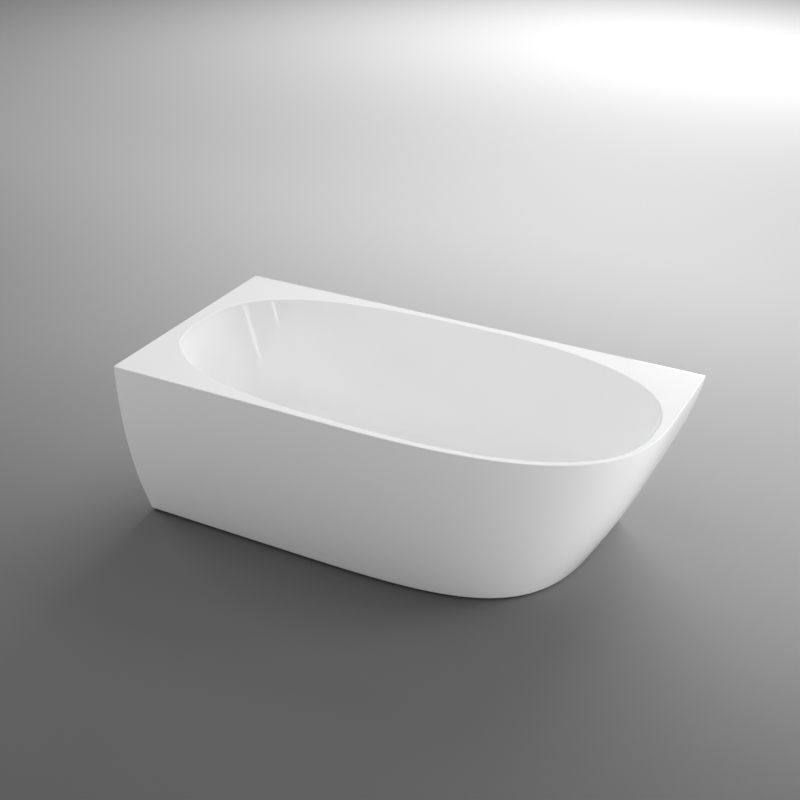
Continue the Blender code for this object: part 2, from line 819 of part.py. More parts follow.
def build_overflow(basin):
    """The overflow, on an axis through the front wall with Z pointing into the bath."""
    point, lean = overflow_place()
    axis = add_empty("overflow_axis", point)
    axis.rotation_euler.x = lean - math.pi / 2
    hole = cylinder_mesh("overflow_hole", OVERFLOW_HOLE_R, -0.03, 0.03, ROUND_STEPS)
    combine(basin, helper("cut_overflow_hole", hole, axis))

    cover_r, stand_off = 0.034, 0.004
    cover_profile = [
        (0, -0.003),
        (0.007, -0.003),
        (0.007, stand_off + 0.002),
        (cover_r - 0.003, stand_off + 0.002),
        (cover_r - 0.002, stand_off),
        (cover_r, stand_off),
        (cover_r, stand_off + 0.004),
        (cover_r - 0.0025, stand_off + 0.0065),
        (0, stand_off + 0.0075),
    ]
    cover = turned_mesh("overflow_cover", cover_profile)
    add_object("overflow_cover", cover, "chrome", axis)

    bow = 0.0006  # the wall's outer face bows out this much behind the gasket
    back = -SHELL - bow - GAP
    flange_r, cup_r, cup_bore, cup_wall = 0.0320, 0.0235, 0.0190, 0.0025
    ring = ring_profile(cup_r, flange_r, back - GASKET, back)
    gasket = turned_mesh("overflow_gasket", ring)
    add_object("overflow_gasket", gasket, "black_rubber", axis)
    face = back - GASKET - GAP
    end = face - 0.0165
    elbow_profile = [
        (0, end),
        (cup_r - 0.002, end),
        (cup_r, end + 0.002),
        (cup_r, face - 0.004),
        (flange_r, face - 0.003),
        (flange_r, face),
        (cup_bore, face),
        (cup_bore, end + cup_wall),
        (0, end + cup_wall),
    ]
    mesh = turned_mesh("overflow_elbow", elbow_profile)
    elbow = add_object("overflow_elbow", mesh, "white_plastic", axis)
    spout = add_empty("overflow_spout", (0, 0, (face + end) / 2 - 0.0005), axis)
    spout.rotation_euler.x = -math.pi / 2  # local Z now points down along the wall
    spigot_r = 0.0070
    spigot = cylinder_mesh("elbow_spigot", spigot_r, 0.021, 0.040, 12)
    combine(elbow, helper("join_elbow_spigot", spigot, spout), "UNION")
    bore = cylinder_mesh("elbow_bore", spigot_r - 0.002, 0.010, 0.045, 12)
    combine(elbow, helper("cut_elbow_bore", bore, spout))


def hose_path():
    """A smooth curve from the overflow's spout, under the front rail, to the waste."""
    x = DRAIN[0]
    route = [
        (-0.3775, 0.4545),
        (-0.3660, 0.400),
        (-0.3560, 0.340),
        (-0.3430, 0.270),
        (-0.3180, 0.180),
        (-0.2750, 0.115),
        (-0.2100, 0.088),
        (-0.1300, HOSE_Z),
        (-0.0523, HOSE_Z),
    ]
    points = np.array(route)
    ends = np.vstack([2 * points[0] - points[1], points, 2 * points[-1] - points[-2]])
    curve = []
    for i in range(len(points) - 1):
        a, b, c, d = ends[i : i + 4]
        for s in np.linspace(0, 1, 3, endpoint=False):
            curve.append(
                0.5
                * (
                    2 * b
                    + (c - a) * s
                    + (2 * a - 5 * b + 4 * c - d) * s**2
                    + (3 * b - a - 3 * c + d) * s**3
                )
            )
    curve.append(points[-1])
    return np.array([(x, y, z) for y, z in curve])


def build_hose():
    path = hose_path()
    tangent = np.gradient(path, axis=0)
    tangent /= np.linalg.norm(tangent, axis=1)[:, None]
    across = np.array([1.0, 0.0, 0.0])
    up = np.cross(tangent, across)
    flat = circle(1.0, 10)

    def tube(radius):
        return [
            point + radius * (flat[:, :1] * across + flat[:, 1:] * normal)
            for point, normal in zip(path, up)
        ]

    rings = tube(HOSE_R) + tube(HOSE_R - HOSE_WALL)[::-1]
    add_object("overflow_hose", ring_mesh("overflow_hose", rings), "grey_plastic")


def build():
    clear_scene()
    basin = build_basin()
    build_skin()
    build_board()
    beams = build_frame()
    build_rim_blocks()
    build_brackets(beams, bpy.data.objects["frame_rail_back"])
    build_feet(beams)
    axis, neck_end = build_waste()
    build_trap(axis, neck_end)
    build_overflow(basin)
    build_hose()


build()
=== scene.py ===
import math
from functools import partial

import bmesh
import bpy
import numpy as np
from mathutils import Matrix, Vector


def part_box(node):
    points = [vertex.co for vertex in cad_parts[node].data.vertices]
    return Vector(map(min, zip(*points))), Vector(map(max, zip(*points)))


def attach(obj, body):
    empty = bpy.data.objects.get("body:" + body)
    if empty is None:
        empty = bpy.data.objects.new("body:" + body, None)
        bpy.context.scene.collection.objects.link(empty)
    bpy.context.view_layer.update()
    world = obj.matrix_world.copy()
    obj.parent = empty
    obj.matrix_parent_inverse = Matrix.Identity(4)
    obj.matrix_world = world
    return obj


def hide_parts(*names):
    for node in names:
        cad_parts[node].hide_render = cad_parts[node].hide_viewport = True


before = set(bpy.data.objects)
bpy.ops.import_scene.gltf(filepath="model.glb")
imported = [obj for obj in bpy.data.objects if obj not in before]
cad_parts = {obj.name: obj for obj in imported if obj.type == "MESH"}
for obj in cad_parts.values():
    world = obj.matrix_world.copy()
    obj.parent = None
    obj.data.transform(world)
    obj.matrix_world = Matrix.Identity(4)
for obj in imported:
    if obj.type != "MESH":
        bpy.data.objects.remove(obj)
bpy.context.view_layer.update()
print("frame loaded:", len(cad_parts), "parts")

quarter = math.pi / 2
sharpDegrees = 40  # faces that meet at more than this look sharp


def linear(hexColour):
    # sRGB hex to linear: the lowest stretch is divided by 12.92, the rest is a 2.4 power
    values = np.array([int(hexColour[i:i + 2], 16) for i in (1, 3, 5)]) / 255
    straight, curved = values / 12.92, ((values + 0.055) / 1.055) ** 2.4
    return (*np.where(values <= 0.04045, straight, curved), 1.0)


def smooth(share):
    # three times the square less twice the cube: level at both ends
    share = np.clip(share, 0, 1)
    return share * share * (3 - 2 * share)


def lift(points, height):
    # flat (x, y) points given a height
    return np.column_stack([points, np.broadcast_to(height, len(points))])


def moved(grid, matrix):
    # every point turned and shifted by a four-by-four matrix
    matrix = np.array(matrix)
    return np.asarray(grid, float) @ matrix[:3, :3].T + matrix[:3, 3]


def gridSurface(name, grids, sharpAngle=sharpDegrees, backFrom=None, sheet=False):
    # grids of points joined into closed skins, or one sheet; a grid whose first row is a single
    # point ends at its last row; each cell is a four-sided face, doubled points are merged and
    # faces turned outwards; rows from backFrom on take the second finish
    points, faces, finishes, first = [], [], [], 0
    for grid in grids if isinstance(grids, list) else [grids]:
        grid = np.asarray(grid, float)
        index = np.arange(grid[..., 0].size).reshape(grid.shape[:2]) + first
        below, right = np.roll(index, -1, 0), np.roll(index, -1, 1)
        cells = np.stack([index, right, np.roll(below, -1, 1), below], -1)
        if sheet or np.ptp(grid[0], axis=0).max() < 1e-9:
            cells = cells[:-1, :-1] if sheet else cells[:-1]
        back = np.arange(len(cells)) >= (len(grid) if backFrom is None else backFrom)
        points.append(grid.reshape(-1, 3))
        faces.append(cells.reshape(-1, 4))
        finishes.append(np.repeat(back, cells.shape[1]))
        first += index.size
    points, faces, finishes = np.vstack(points), np.vstack(faces), np.concatenate(finishes)
    mesh = bpy.data.meshes.new(name)
    mesh.from_pydata(points, [], faces.tolist())
    mesh.polygons.foreach_set("material_index", finishes.astype(np.int32))
    work = bmesh.new()
    work.from_mesh(mesh)
    bmesh.ops.remove_doubles(work, verts=work.verts, dist=2e-6)
    bmesh.ops.recalc_face_normals(work, faces=work.faces)
    work.to_mesh(mesh)
    work.free()
    mesh.shade_smooth()
    mesh.set_sharp_from_angle(angle=math.radians(sharpAngle))
    piece = bpy.data.objects.new(name, mesh)
    bpy.context.scene.collection.objects.link(piece)
    return piece


def bent(start, corner, end, share):
    # the quadratic curve from start to end that is pulled towards the corner
    return (1 - share) ** 2 * start + 2 * share * (1 - share) * corner + share ** 2 * end


def softened(profile, radius, steps=4):
    # each corner becomes a curve that starts and ends a radius from it, or at most 45 percent
    # of the way along its sides; a profile that starts on the axis keeps both its ends
    profile = np.asarray(profile, float)
    before, after = np.roll(profile, 1, 0) - profile, np.roll(profile, -1, 0) - profile
    toBefore, toAfter = (np.linalg.norm(side, axis=1)[:, None] for side in (before, after))
    start = profile + before / toBefore * np.minimum(radius, toBefore * 0.45)
    end = profile + after / toAfter * np.minimum(radius, toAfter * 0.45)
    curve = bent(start, profile, end, np.linspace(0, 1, steps + 1)[:, None, None])
    if profile[0, 0] == 0:
        curve[:, 0], curve[:, -1] = profile[0], profile[-1]
    return curve.transpose(1, 0, 2).reshape(-1, 2)


def turnedGrid(profile, around=72, change=None):
    # (radius, height) turned about Z; change(radius, height, angle) may alter the radius
    profile = np.asarray(profile, float)
    angle = np.arange(around) * math.tau / around
    radius, height = np.broadcast_arrays(profile[:, :1], profile[:, 1:], angle[None])[:2]
    radius = radius if change is None else change(radius, height, angle[None])
    return np.stack([radius * np.cos(angle), radius * np.sin(angle), height], -1)


def band(inner, outer, low, high, soft=0.0004):
    # the closed profile of a ring with rounded edges
    return softened([(inner, low), (outer, low), (outer, high), (inner, high)], soft)


def cut(piece, *cutters):
    # the cutters are taken out of the piece, and the edges this leaves are marked sharp
    for cutter in cutters:
        modifier = piece.modifiers.new("cut", "BOOLEAN")
        modifier.object = cutter
        modifier.solver = "EXACT"
    shape = piece.evaluated_get(bpy.context.evaluated_depsgraph_get())
    mesh = bpy.data.meshes.new_from_object(shape)
    mesh.set_sharp_from_angle(angle=math.radians(sharpDegrees))
    piece.modifiers.clear()
    piece.data = mesh
    for cutter in cutters:
        bpy.data.objects.remove(cutter)


def plugGrid(radius, low, high, around):
    # a solid cylinder
    return turnedGrid([(0, low), (radius, low), (radius, high), (0, high)], around)


def capped(rows):
    # each end row's middle is added beyond it, which closes the end
    middle = rows.mean(axis=1, keepdims=True) + 0 * rows
    return np.concatenate([middle[:1], rows, middle[-1:]])


def titled(part):
    # the CAD part's name in camel case
    first, *others = part.split("_")
    return first + "".join(word.capitalize() for word in others)


def place(piece, body, part, *finishes):
    # the piece gets its finishes, rides on its body and stands for its CAD part, which it hides
    for finish in finishes:
        piece.data.materials.append(finish)
    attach(piece, body)
    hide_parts(part)


def node(tree, kind, settings=None, links=None, give=0):
    # one node with its settings, its plain inputs and its links; gives back one output
    made = tree.nodes.new("ShaderNode" + kind)
    for key, value in (settings or {}).items():
        if isinstance(key, str) and hasattr(made, key):
            setattr(made, key, value)
        else:
            made.inputs[key].default_value = value
    for key, socket in (links or {}).items():
        tree.links.new(socket, made.inputs[key])
    return made.outputs[give]


def newFinish(name, plain):
    # a finish whose shader has its plain values set, what adds a node to it, and the
    # object's own space for its patterns
    finish = bpy.data.materials.new(name)
    finish.use_nodes = True
    add = partial(node, finish.node_tree)
    shader = finish.node_tree.nodes["Principled BSDF"]
    for key, value in plain.items():
        shader.inputs[key].default_value = value
    return finish, add, shader, add("TexCoord", give="Object")


def feed(shader, sockets):
    # each socket is linked to the shader's input of its name
    for key, socket in sockets.items():
        shader.id_data.links.new(socket, shader.inputs[key])


acrylicLook = {
    "white": "#F1F1F1",
    "whiteThin": "#EFEFEF",  # where the sheet was stretched most
    "ior": 1.49,
    "roughness": (0.06, 0.12),
    "rippleMm": 9.0,
    "rippleDepthMm": 0.004,
}


def glossAcrylic():
    # cast acrylic sheet, vacuum formed and buffed: an even white with a deep gloss,
    # whose long soft ripple only shows in the edges of reflections
    look = acrylicLook
    finish, add, shader, where = newFinish("glossAcrylic", {"IOR": look["ior"]})
    drift = add("TexNoise", {"Scale": 1.6, "Detail": 2.0}, {"Vector": where})
    tones = {"data_type": "RGBA", 6: linear(look["whiteThin"]), 7: linear(look["white"])}
    tint = add("Mix", tones, {0: drift}, 2)
    buffing = add("TexNoise", {"Scale": 14.0, "Detail": 3.0}, {"Vector": where})
    low, high = look["roughness"]
    rough = add("MapRange", {"To Min": low, "To Max": high}, {"Value": buffing})
    waves = add("TexNoise", {"Scale": 1000 / look["rippleMm"], "Detail": 1.0}, {"Vector": where})
    ripple = add("Bump", {"Distance": look["rippleDepthMm"] / 1000}, {"Height": waves})
    feed(shader, {"Base Color": tint, "Roughness": rough, "Normal": ripple})
    return finish


laminateLook = {
    "resin": "#CFC9B4",
    "resinThick": "#B5AC90",
    "strand": "#E4E1D4",
    "strandMm": 40.0,
    "strandWidthMm": 2.5,
    "strandTurns": (0.3, 1.2, 2.3),  # radians
    "reliefMm": 0.5,
}


def sprayedLaminate():
    # glass-fibre strands sprayed in polyester resin and rolled: cream and uneven,
    # with pale crossing strands that stand up a little
    look = laminateLook
    finish, add, shader, where = newFinish("sprayedLaminate", {"IOR": 1.55, "Roughness": 0.45})
    cloud = add("TexNoise", {"Scale": 9.0, "Detail": 4.0}, {"Vector": where})
    tones = {"data_type": "RGBA", 6: linear(look["resinThick"]), 7: linear(look["resin"])}
    base = add("Mix", tones, {0: cloud}, 2)
    along, across = 1000 / look["strandMm"], 1000 / look["strandWidthMm"]
    strands = cloud
    for turn in look["strandTurns"]:
        laid = {"Rotation": (turn * 0.7, turn * 1.3, turn), "Scale": (along, across, across)}
        way = add("Mapping", laid, {"Vector": where})
        line = add("TexNoise", {"Scale": 1.0, "Detail": 1.0}, {"Vector": way})
        crest = add("MapRange", {"From Min": 0.54, "From Max": 0.68}, {"Value": line})
        strands = add("Math", {"operation": "MAXIMUM"}, {0: strands, 1: crest})
    tint = add("Mix", {"data_type": "RGBA", 7: linear(look["strand"])}, {0: strands, 6: base}, 2)
    relief = add("Bump", {"Distance": look["reliefMm"] / 1000}, {"Height": strands})
    feed(shader, {"Base Color": tint, "Normal": relief})
    return finish


plywoodLook = {
    "pale": "#D2B183",
    "dark": "#AE875A",
    "endGrain": "#7D5A3B",
    "grainMm": (160.0, 3.5),  # along and across
    "plyMm": 1.4,
    "reliefMm": 0.1,
}


def birchPlywood():
    # rotary-cut birch, glued crosswise and sealed: long faint grain on the faces
    # and thin light and dark plies on the edges
    look = plywoodLook
    finish, add, shader, where = newFinish("birchPlywood", {"IOR": 1.5})
    along, across = (1000 / size for size in look["grainMm"])
    stretched = add("Mapping", {"Scale": (along, across, across)}, {"Vector": where})
    wavy = {"Scale": 1.0, "Detail": 5.0, "Distortion": 0.6}
    grain = add("TexNoise", wavy, {"Vector": stretched})
    share = add("MapRange", {"From Min": 0.35, "From Max": 0.65}, {"Value": grain})
    tones = {"data_type": "RGBA", 6: linear(look["dark"]), 7: linear(look["pale"])}
    face = add("Mix", tones, {0: share}, 2)
    height = add("SeparateXYZ", links={"Vector": where}, give="Z")
    thick = look["plyMm"] / 1000
    layer = add("Math", {"operation": "PINGPONG", 1: thick}, {0: height})
    ply = add("MapRange", {"From Min": 0.4 * thick, "From Max": 0.6 * thick}, {"Value": layer})
    edge = add("Mix", {"data_type": "RGBA", 6: linear(look["endGrain"])}, {0: ply, 7: face}, 2)
    normal = add("NewGeometry", give="Normal")
    upright = add("SeparateXYZ", links={"Vector": normal}, give="Z")
    flat = add("Math", {"operation": "ABSOLUTE"}, {0: upright})
    onFace = add("Math", {"operation": "GREATER_THAN", 1: 0.5}, {0: flat})
    tint = add("Mix", {"data_type": "RGBA"}, {0: onFace, 6: edge, 7: face}, 2)
    rough = add("MapRange", {"To Min": 0.72, "To Max": 0.55}, {"Value": share})
    relief = add("Bump", {"Distance": look["reliefMm"] / 1000}, {"Height": grain})
    feed(shader, {"Base Color": tint, "Roughness": rough, "Normal": relief})
    return finish


# noises are given as features in each metre, along each axis for the fine one, and detail
plainLooks = {
    # polyester powder baked on steel tube: satin grey with a fine orange peel
    "powderCoat": {
        "plain": {"IOR": 1.5}, "tones": ("#85888B", "#94979A"), "cloud": (12.0, 3.0),
        "fine": ([1000 / 2.2] * 3, 1.0), "roughness": (0.36, 0.5), "roughBy": "cloud",
        "reliefMm": 0.05,
    },
    # bright zinc on steel with a clear passivation: bluish silver, cloudy, faintly scratched
    "zincPlate": {
        "plain": {"Metallic": 1.0}, "tones": ("#A5ABB2", "#C4C6C3"), "cloud": (60.0, 3.0),
        "fine": ([200.0, 3000.0, 3000.0], 2.0), "roughness": (0.22, 0.45), "roughBy": "fine",
    },
    # chromium over polished brass: almost a mirror, with a slight haze of wiping marks
    "polishedChrome": {
        "plain": {"Metallic": 1.0}, "tones": ("#CFD2D5", "#DADCDD"), "cloud": (70.0, 4.0),
        "roughness": (0.03, 0.1), "roughBy": "cloud",
    },
    # injection moulded in a spark-eroded tool: an even white with a fine matt skin
    "whitePolypropylene": {
        "plain": {"IOR": 1.49}, "tones": ("#DEDED8", "#E8E8E3"), "cloud": (25.0, 2.0),
        "fine": ([1250.0] * 3, 2.0), "roughness": (0.3, 0.42), "roughBy": "fine", "reliefMm": 0.03,
    },
    # the same in grey, for the parts turned by hand
    "greyPolypropylene": {
        "plain": {"IOR": 1.49}, "tones": ("#64686B", "#73777A"), "cloud": (25.0, 2.0),
        "fine": ([1250.0] * 3, 2.0), "roughness": (0.34, 0.46), "roughBy": "fine", "reliefMm": 0.03,
    },
    # moulded nitrile rubber: nearly black, dusty grey where it has been handled
    "blackRubber": {
        "plain": {"IOR": 1.52}, "tones": ("#171718", "#2B2B2C"), "cloud": (45.0, 4.0),
        "roughness": (0.6, 0.85), "roughBy": "cloud", "reliefMm": 0.04,
    },
}


def evenFinish(name):
    # the tone follows the cloud; the relief follows the finer noise, or the cloud without one
    look = plainLooks[name]
    finish, add, shader, where = newFinish(name, look["plain"])
    scale, detail = look["cloud"]
    noises = {"cloud": add("TexNoise", {"Scale": scale, "Detail": detail}, {"Vector": where})}
    if "fine" in look:
        scales, detail = look["fine"]
        fine = add("Mapping", {"Scale": scales}, {"Vector": where})
        noises["fine"] = add("TexNoise", {"Scale": 1.0, "Detail": detail}, {"Vector": fine})
    dark, pale = (linear(tone) for tone in look["tones"])
    tint = add("Mix", {"data_type": "RGBA", 6: dark, 7: pale}, {0: noises["cloud"]}, 2)
    low, high = look["roughness"]
    rough = add("MapRange", {"To Min": low, "To Max": high}, {"Value": noises[look["roughBy"]]})
    feed(shader, {"Base Color": tint, "Roughness": rough})
    if "reliefMm" in look:
        height = noises.get("fine", noises["cloud"])
        relief = add("Bump", {"Distance": look["reliefMm"] / 1000}, {"Height": height})
        feed(shader, {"Normal": relief})
    return finish


paperLook = {
    # the near tone is painted shade: the floor in front is darkened as if less lit and shadowed by
    # the tub
    "near": "#7E7E7F",
    "far": "#CFCFD0",
    "fade": (-0.9, 2.8),  # metres, from the darker tone to the paler
    "reach": 60.0,  # metres each way
    "reliefMm": 0.1,
}


def graduatedPaper():
    # seamless background paper, matt, its grey paling evenly towards the back; the darker grey in
    # front is painted shade, standing in for the dimmer light and the tub's shadow on the floor
    # there
    look = paperLook
    start, end = look["fade"]
    finish, add, shader, where = newFinish("graduatedPaper", {"Roughness": 0.9})
    depth = add("SeparateXYZ", links={"Vector": where}, give="Y")
    steps = {"interpolation_type": "SMOOTHSTEP", "From Min": start, "From Max": end}
    share = add("MapRange", steps, {"Value": depth})
    tones = {"data_type": "RGBA", 6: linear(look["near"]), 7: linear(look["far"])}
    tint = add("Mix", tones, {0: share}, 2)
    tooth = add("TexNoise", {"Scale": 900.0}, {"Vector": where})
    relief = add("Bump", {"Distance": look["reliefMm"] / 1000}, {"Height": tooth})
    feed(shader, {"Base Color": tint, "Normal": relief})
    return finish


studio = {
    "camera": (1.620, -3.124, 2.444),  # metres from the middle of the footprint
    "turn": 27.79,  # degrees to the left from straight on
    "tilt": 28.97,  # degrees down
    "lens": 57.80,  # millimetres
    "sensor": 36,
    "air": 0.15,  # strength of the even light from all sides
    # name: place, point aimed at, width, height, watts and what it lights
    # the lights that show in glossy finishes
    "mirrored": ("overhead", "backLow", "leftLow", "tallBox", "slimLamp"),
    "lights": {
        "overhead": ((0.0, 0.0, 3.4), (0.0, 0.0, 0.0), 2.5, 2.5, 26, "all"),
        "backTop": ((0.3, 2.4, 3.2), (0.2, 0.8, 0.0), 2.5, 1.8, 48, "all"),
        "overBath": ((0.0, 0.0, 3.4), (0.0, 0.0, 0.0), 2.5, 2.5, 24, "tub"),
        "overRight": ((1.8, 0.6, 3.2), (0.5, 0.2, 0.0), 2.0, 2.0, 27, "tub"),
        "backLow": ((0.8, 5.2, 2.2), (0.1, 0.4, 0.4), 3.0, 1.6, 78, "tub"),
        "frontHigh": ((-0.4, -4.0, 3.2), (0.0, 0.0, 0.3), 2.5, 1.5, 46, "tub"),
        "leftLow": ((-3.6, -0.6, 0.9), (-0.6, 0.0, 0.3), 1.6, 1.2, 42, "tub"),
        "leftGround": ((-2.6, -2.2, 0.15), (-0.5, -0.3, 0.2), 1.6, 0.25, 8, "tub"),
        "rightGround": ((2.8, 0.4, 0.22), (0.6, 0.0, 0.2), 1.6, 0.36, 21, "tub"),
        "rightBackGround": ((2.3, 1.9, 0.25), (0.7, 0.1, 0.25), 1.6, 0.4, 8, "tub"),
        "rightFrontGround": ((2.6, -1.2, 0.22), (0.5, -0.1, 0.2), 1.6, 0.36, 18, "tub"),
        "tallBox": ((2.95, -1.02, 1.22), (-0.7, 0.17, 0.5), 0.45, 1.0, 4.0, "tub"),
        "slimLamp": ((1.445, -2.71, 1.12), (-0.62, 0.24, 0.5), 0.12, 0.6, 1.6, "tub"),
        "farMiddle": ((-0.4, 7.4, 3.4), (-0.8, 4.6, 0.0), 4.0, 1.6, 230, "floor"),
        "farLeft": ((-3.0, 7.0, 3.4), (-1.8, 4.2, 0.0), 4.0, 2.0, 80, "floor"),
        "backKey": ((-0.9, 3.6, 2.6), (0.2, -0.4, 0.0), 1.2, 1.2, 13, "floor"),
        "rightFloor": ((1.9, 0.3, 1.4), (0.95, -0.1, 0.0), 0.6, 0.6, 10, "floor"),
        "leftFloor": ((-2.2, -0.2, 1.6), (-1.3, -0.5, 0.0), 0.8, 0.8, 7.5, "floor"),
    },
}


def makeStudio():
    # camera, level floor, soft rectangular lights and an even air; a light may be kept to
    # the floor alone, or off it
    scene = bpy.context.scene
    data = bpy.data.cameras.new("camera")
    data.lens, data.sensor_width = studio["lens"], studio["sensor"]
    camera = bpy.data.objects.new("camera", data)
    scene.collection.objects.link(camera)
    camera.location = studio["camera"]
    camera.rotation_euler = (math.radians(90 - studio["tilt"]), 0, math.radians(studio["turn"]))
    scene.camera = camera
    reach = np.linspace(-paperLook["reach"], paperLook["reach"], 3)
    x, y = np.meshgrid(reach, reach)
    floor = gridSurface("studioFloor", np.stack([x, y, 0 * x], -1), sheet=True)
    if floor.data.polygons[0].normal.z < 0:
        floor.data.flip_normals()
    floor.data.materials.append(graduatedPaper())
    linked = {name: bpy.data.collections.new(name) for name in ("floor", "tub")}
    for collection in linked.values():
        collection.objects.link(floor)
    linked["tub"].collection_objects[0].light_linking.link_state = "EXCLUDE"
    for name, (spot, target, width, height, watts, lit) in studio["lights"].items():
        data = bpy.data.lights.new(name, "AREA")
        data.shape = "RECTANGLE"
        data.size, data.size_y, data.energy = width, height, watts
        light = bpy.data.objects.new(name, data)
        scene.collection.objects.link(light)
        light.location = spot
        light.rotation_euler = (Vector(target) - Vector(spot)).to_track_quat("-Z", "Y").to_euler()
        light.visible_camera, light.visible_glossy = False, name in studio["mirrored"]
        if lit in linked:
            light.light_linking.receiver_collection = linked[lit]
    world = bpy.data.worlds.new("air")
    world.use_nodes = True
    air = world.node_tree.nodes["Background"].inputs
    air["Color"].default_value, air["Strength"].default_value = linear("#FFFFFF"), studio["air"]
    scene.world = world
    scene.view_settings.view_transform = "Standard"


makeStudio()
acrylic, laminate, plywood = glossAcrylic(), sprayedLaminate(), birchPlywood()
coat, zinc, chrome, whitePlastic, greyPlastic, rubber = (evenFinish(name) for name in plainLooks)
print("studio and finishes made")

shellLow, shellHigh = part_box("basin_shell")
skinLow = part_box("outer_skin")[0]

tub = {
    "length": shellHigh.x - shellLow.x,
    "width": shellHigh.y - shellLow.y,
    "height": shellHigh.z,
    # the large corner at the deck and at the floor: its centre and its two powers
    "cornerX": (-0.0862, -0.5107),
    "cornerY": (0.1269, 0.5911),
    "powerX": (2.854, 4.956),
    "powerY": (3.123, 4.956),
    "frontIn": 0.1111,  # lean of the front at the floor
    "frontPower": 2.216,
    "rightIn": 0.234,
    "rightPower": 1.325,
    "cornerRadius": 0.005,  # of the three square corners, seen from above
    "edgeRadius": 0.0035,  # round the deck's outer edge
    "skin": 0.005,
    "roll": 0.007,  # radius of the skin's lower edge
    "joint": shellHigh.z - 0.005,  # height where skin and basin meet
    "steps": (70, 7, 300, 7, 130, 7),  # left, corner, front, corner, back, corner
    "deckSteps": (7, 13, 9),  # over the outer edge, across the deck, over the lip
    "opening": ((-0.340, 0.460), 0.420, 0.040),  # in the back: its x, top and corner radius
}

well = {
    "middleX": 0.0517,
    "left": 0.8258,  # from the middle to each end of the rim
    "right": 0.7421,
    "half": 0.3742,  # half the rim's width
    "powerLeft": 2.694,
    "powerRight": 2.460,
    "depth": 0.436,
    "wallDepth": 0.330,  # of the straight part of the wall
    "wallShare": 0.45,  # of the way in that the straight part takes
    "leftIn": 0.270,  # how much smaller the floor is than the rim
    "rightIn": 0.300,
    "sideIn": 0.130,
    "lip": 0.005,
    "shell": 0.006,
    "fall": 0.004,  # of the floor towards the drain
    "seat": 0.046,  # radius of the level seat round the drain
    "drain": (0.060, 0.000),
    "drainHole": 0.026,
    "overflowDepth": 0.100,
    "overflowHole": 0.0225,
    "faceSteps": (30, 40, 16),  # down the wall, round the bend, over the floor
    "underSteps": (12, 16, 6),
}


def between(pair, share):
    # the first value plus a share of the step to the second
    return pair[0] + (pair[1] - pair[0]) * share


def lengthAlong(path):
    # the sum of the straight steps up to each point
    return np.concatenate([[0], np.cumsum(np.linalg.norm(np.diff(path, axis=0), axis=1))])


def readAt(path, distance):
    # the path's points at distances along it
    length = lengthAlong(path)
    return np.column_stack([np.interp(distance, length, path[:, k]) for k in range(path.shape[1])])


def apronPath(depth, inset):
    # a straight front, then x and y on a superellipse: sine and cosine raised to 2 / power
    front, right = depth ** tub["frontPower"], depth ** tub["rightPower"]
    corner = (front + right) / 2
    middleX, middleY = between(tub["cornerX"], corner), between(tub["cornerY"], corner)
    frontY = -tub["width"] / 2 + tub["frontIn"] * front + inset
    rightX = tub["length"] / 2 - tub["rightIn"] * right - inset
    angle = np.linspace(0, quarter, 2400)
    x = middleX + (rightX - middleX) * np.sin(angle) ** (2 / between(tub["powerX"], corner))
    y = middleY - (middleY - frontY) * np.cos(angle) ** (2 / between(tub["powerY"], corner))
    backY = tub["width"] / 2 - inset
    kept = y < backY
    endX = rightX if kept.all() else np.interp(backY, y, x)
    curve = np.column_stack([x, y])[kept]
    return np.vstack([[(-tub["length"] / 2 + inset, frontY)], curve, [(endX, backY)]])


def softCorner(start, corner, end, count):
    # the curve's points but the last
    share = np.linspace(0, 1, count + 1)[:-1, None]
    return bent(np.array(start), np.array(corner), np.array(end), share)


def outline(depth, inset=0.0):
    # left side, corner, front with its large curve, corner, back, corner
    whole = apronPath(depth, inset)
    length = lengthAlong(whole)[-1]
    radius = tub["cornerRadius"] - min(inset, tub["cornerRadius"] * 0.6)
    left, back = -tub["length"] / 2 + inset, tub["width"] / 2 - inset
    frontY, endX = whole[0][1], whole[-1][0]
    counts = tub["steps"]
    front = readAt(whole, np.linspace(radius, length - radius, counts[2] + 1))
    leftSide = np.linspace((left, back - radius), (left, frontY + radius), counts[0] + 1)
    backSide = np.linspace((endX - radius, back), (left + radius, back), counts[4] + 1)
    return np.vstack([
        leftSide[:-1], softCorner(leftSide[-1], whole[0], front[0], counts[1]),
        front[:-1], softCorner(front[-1], whole[-1], backSide[0], counts[3]),
        backSide[:-1], softCorner(backSide[-1], (left, back), leftSide[0], counts[5]),
    ])


def wellRing(angle, share, grow=0.0):
    # polar superellipse: one over the power root of the sum of |cos / a| and |sin / b|, each
    # raised to the power
    left = well["left"] - well["leftIn"] * share + grow
    right = well["right"] - well["rightIn"] * share + grow
    half = well["half"] - well["sideIn"] * share + grow
    toRight = np.cos(angle) > 0
    reach = np.where(toRight, right, left)
    power = np.where(toRight, well["powerRight"], well["powerLeft"])
    sides = np.abs(np.cos(angle) / reach) ** power + np.abs(np.sin(angle) / half) ** power
    radius = sides ** (-1 / power)
    return np.column_stack([well["middleX"] + radius * np.cos(angle), radius * np.sin(angle)])


def wallProfile(straightSteps, bendSteps):
    # a straight wall, then a quadratic curve that ends level at the floor
    lip, share, wall, depth = well["lip"], well["wallShare"], well["wallDepth"], well["depth"]
    s = np.linspace(0, 1, straightSteps)
    straight = np.column_stack([share * s, lip + (wall - lip) * s])
    slope = share / (wall - lip)
    knee, end = np.array([share + slope * (depth - wall), depth]), np.array([1.0, depth])
    s = np.linspace(0, 1, bendSteps + 1)[1:, None]
    return np.vstack([straight, bent(straight[-1], knee, end, s)])


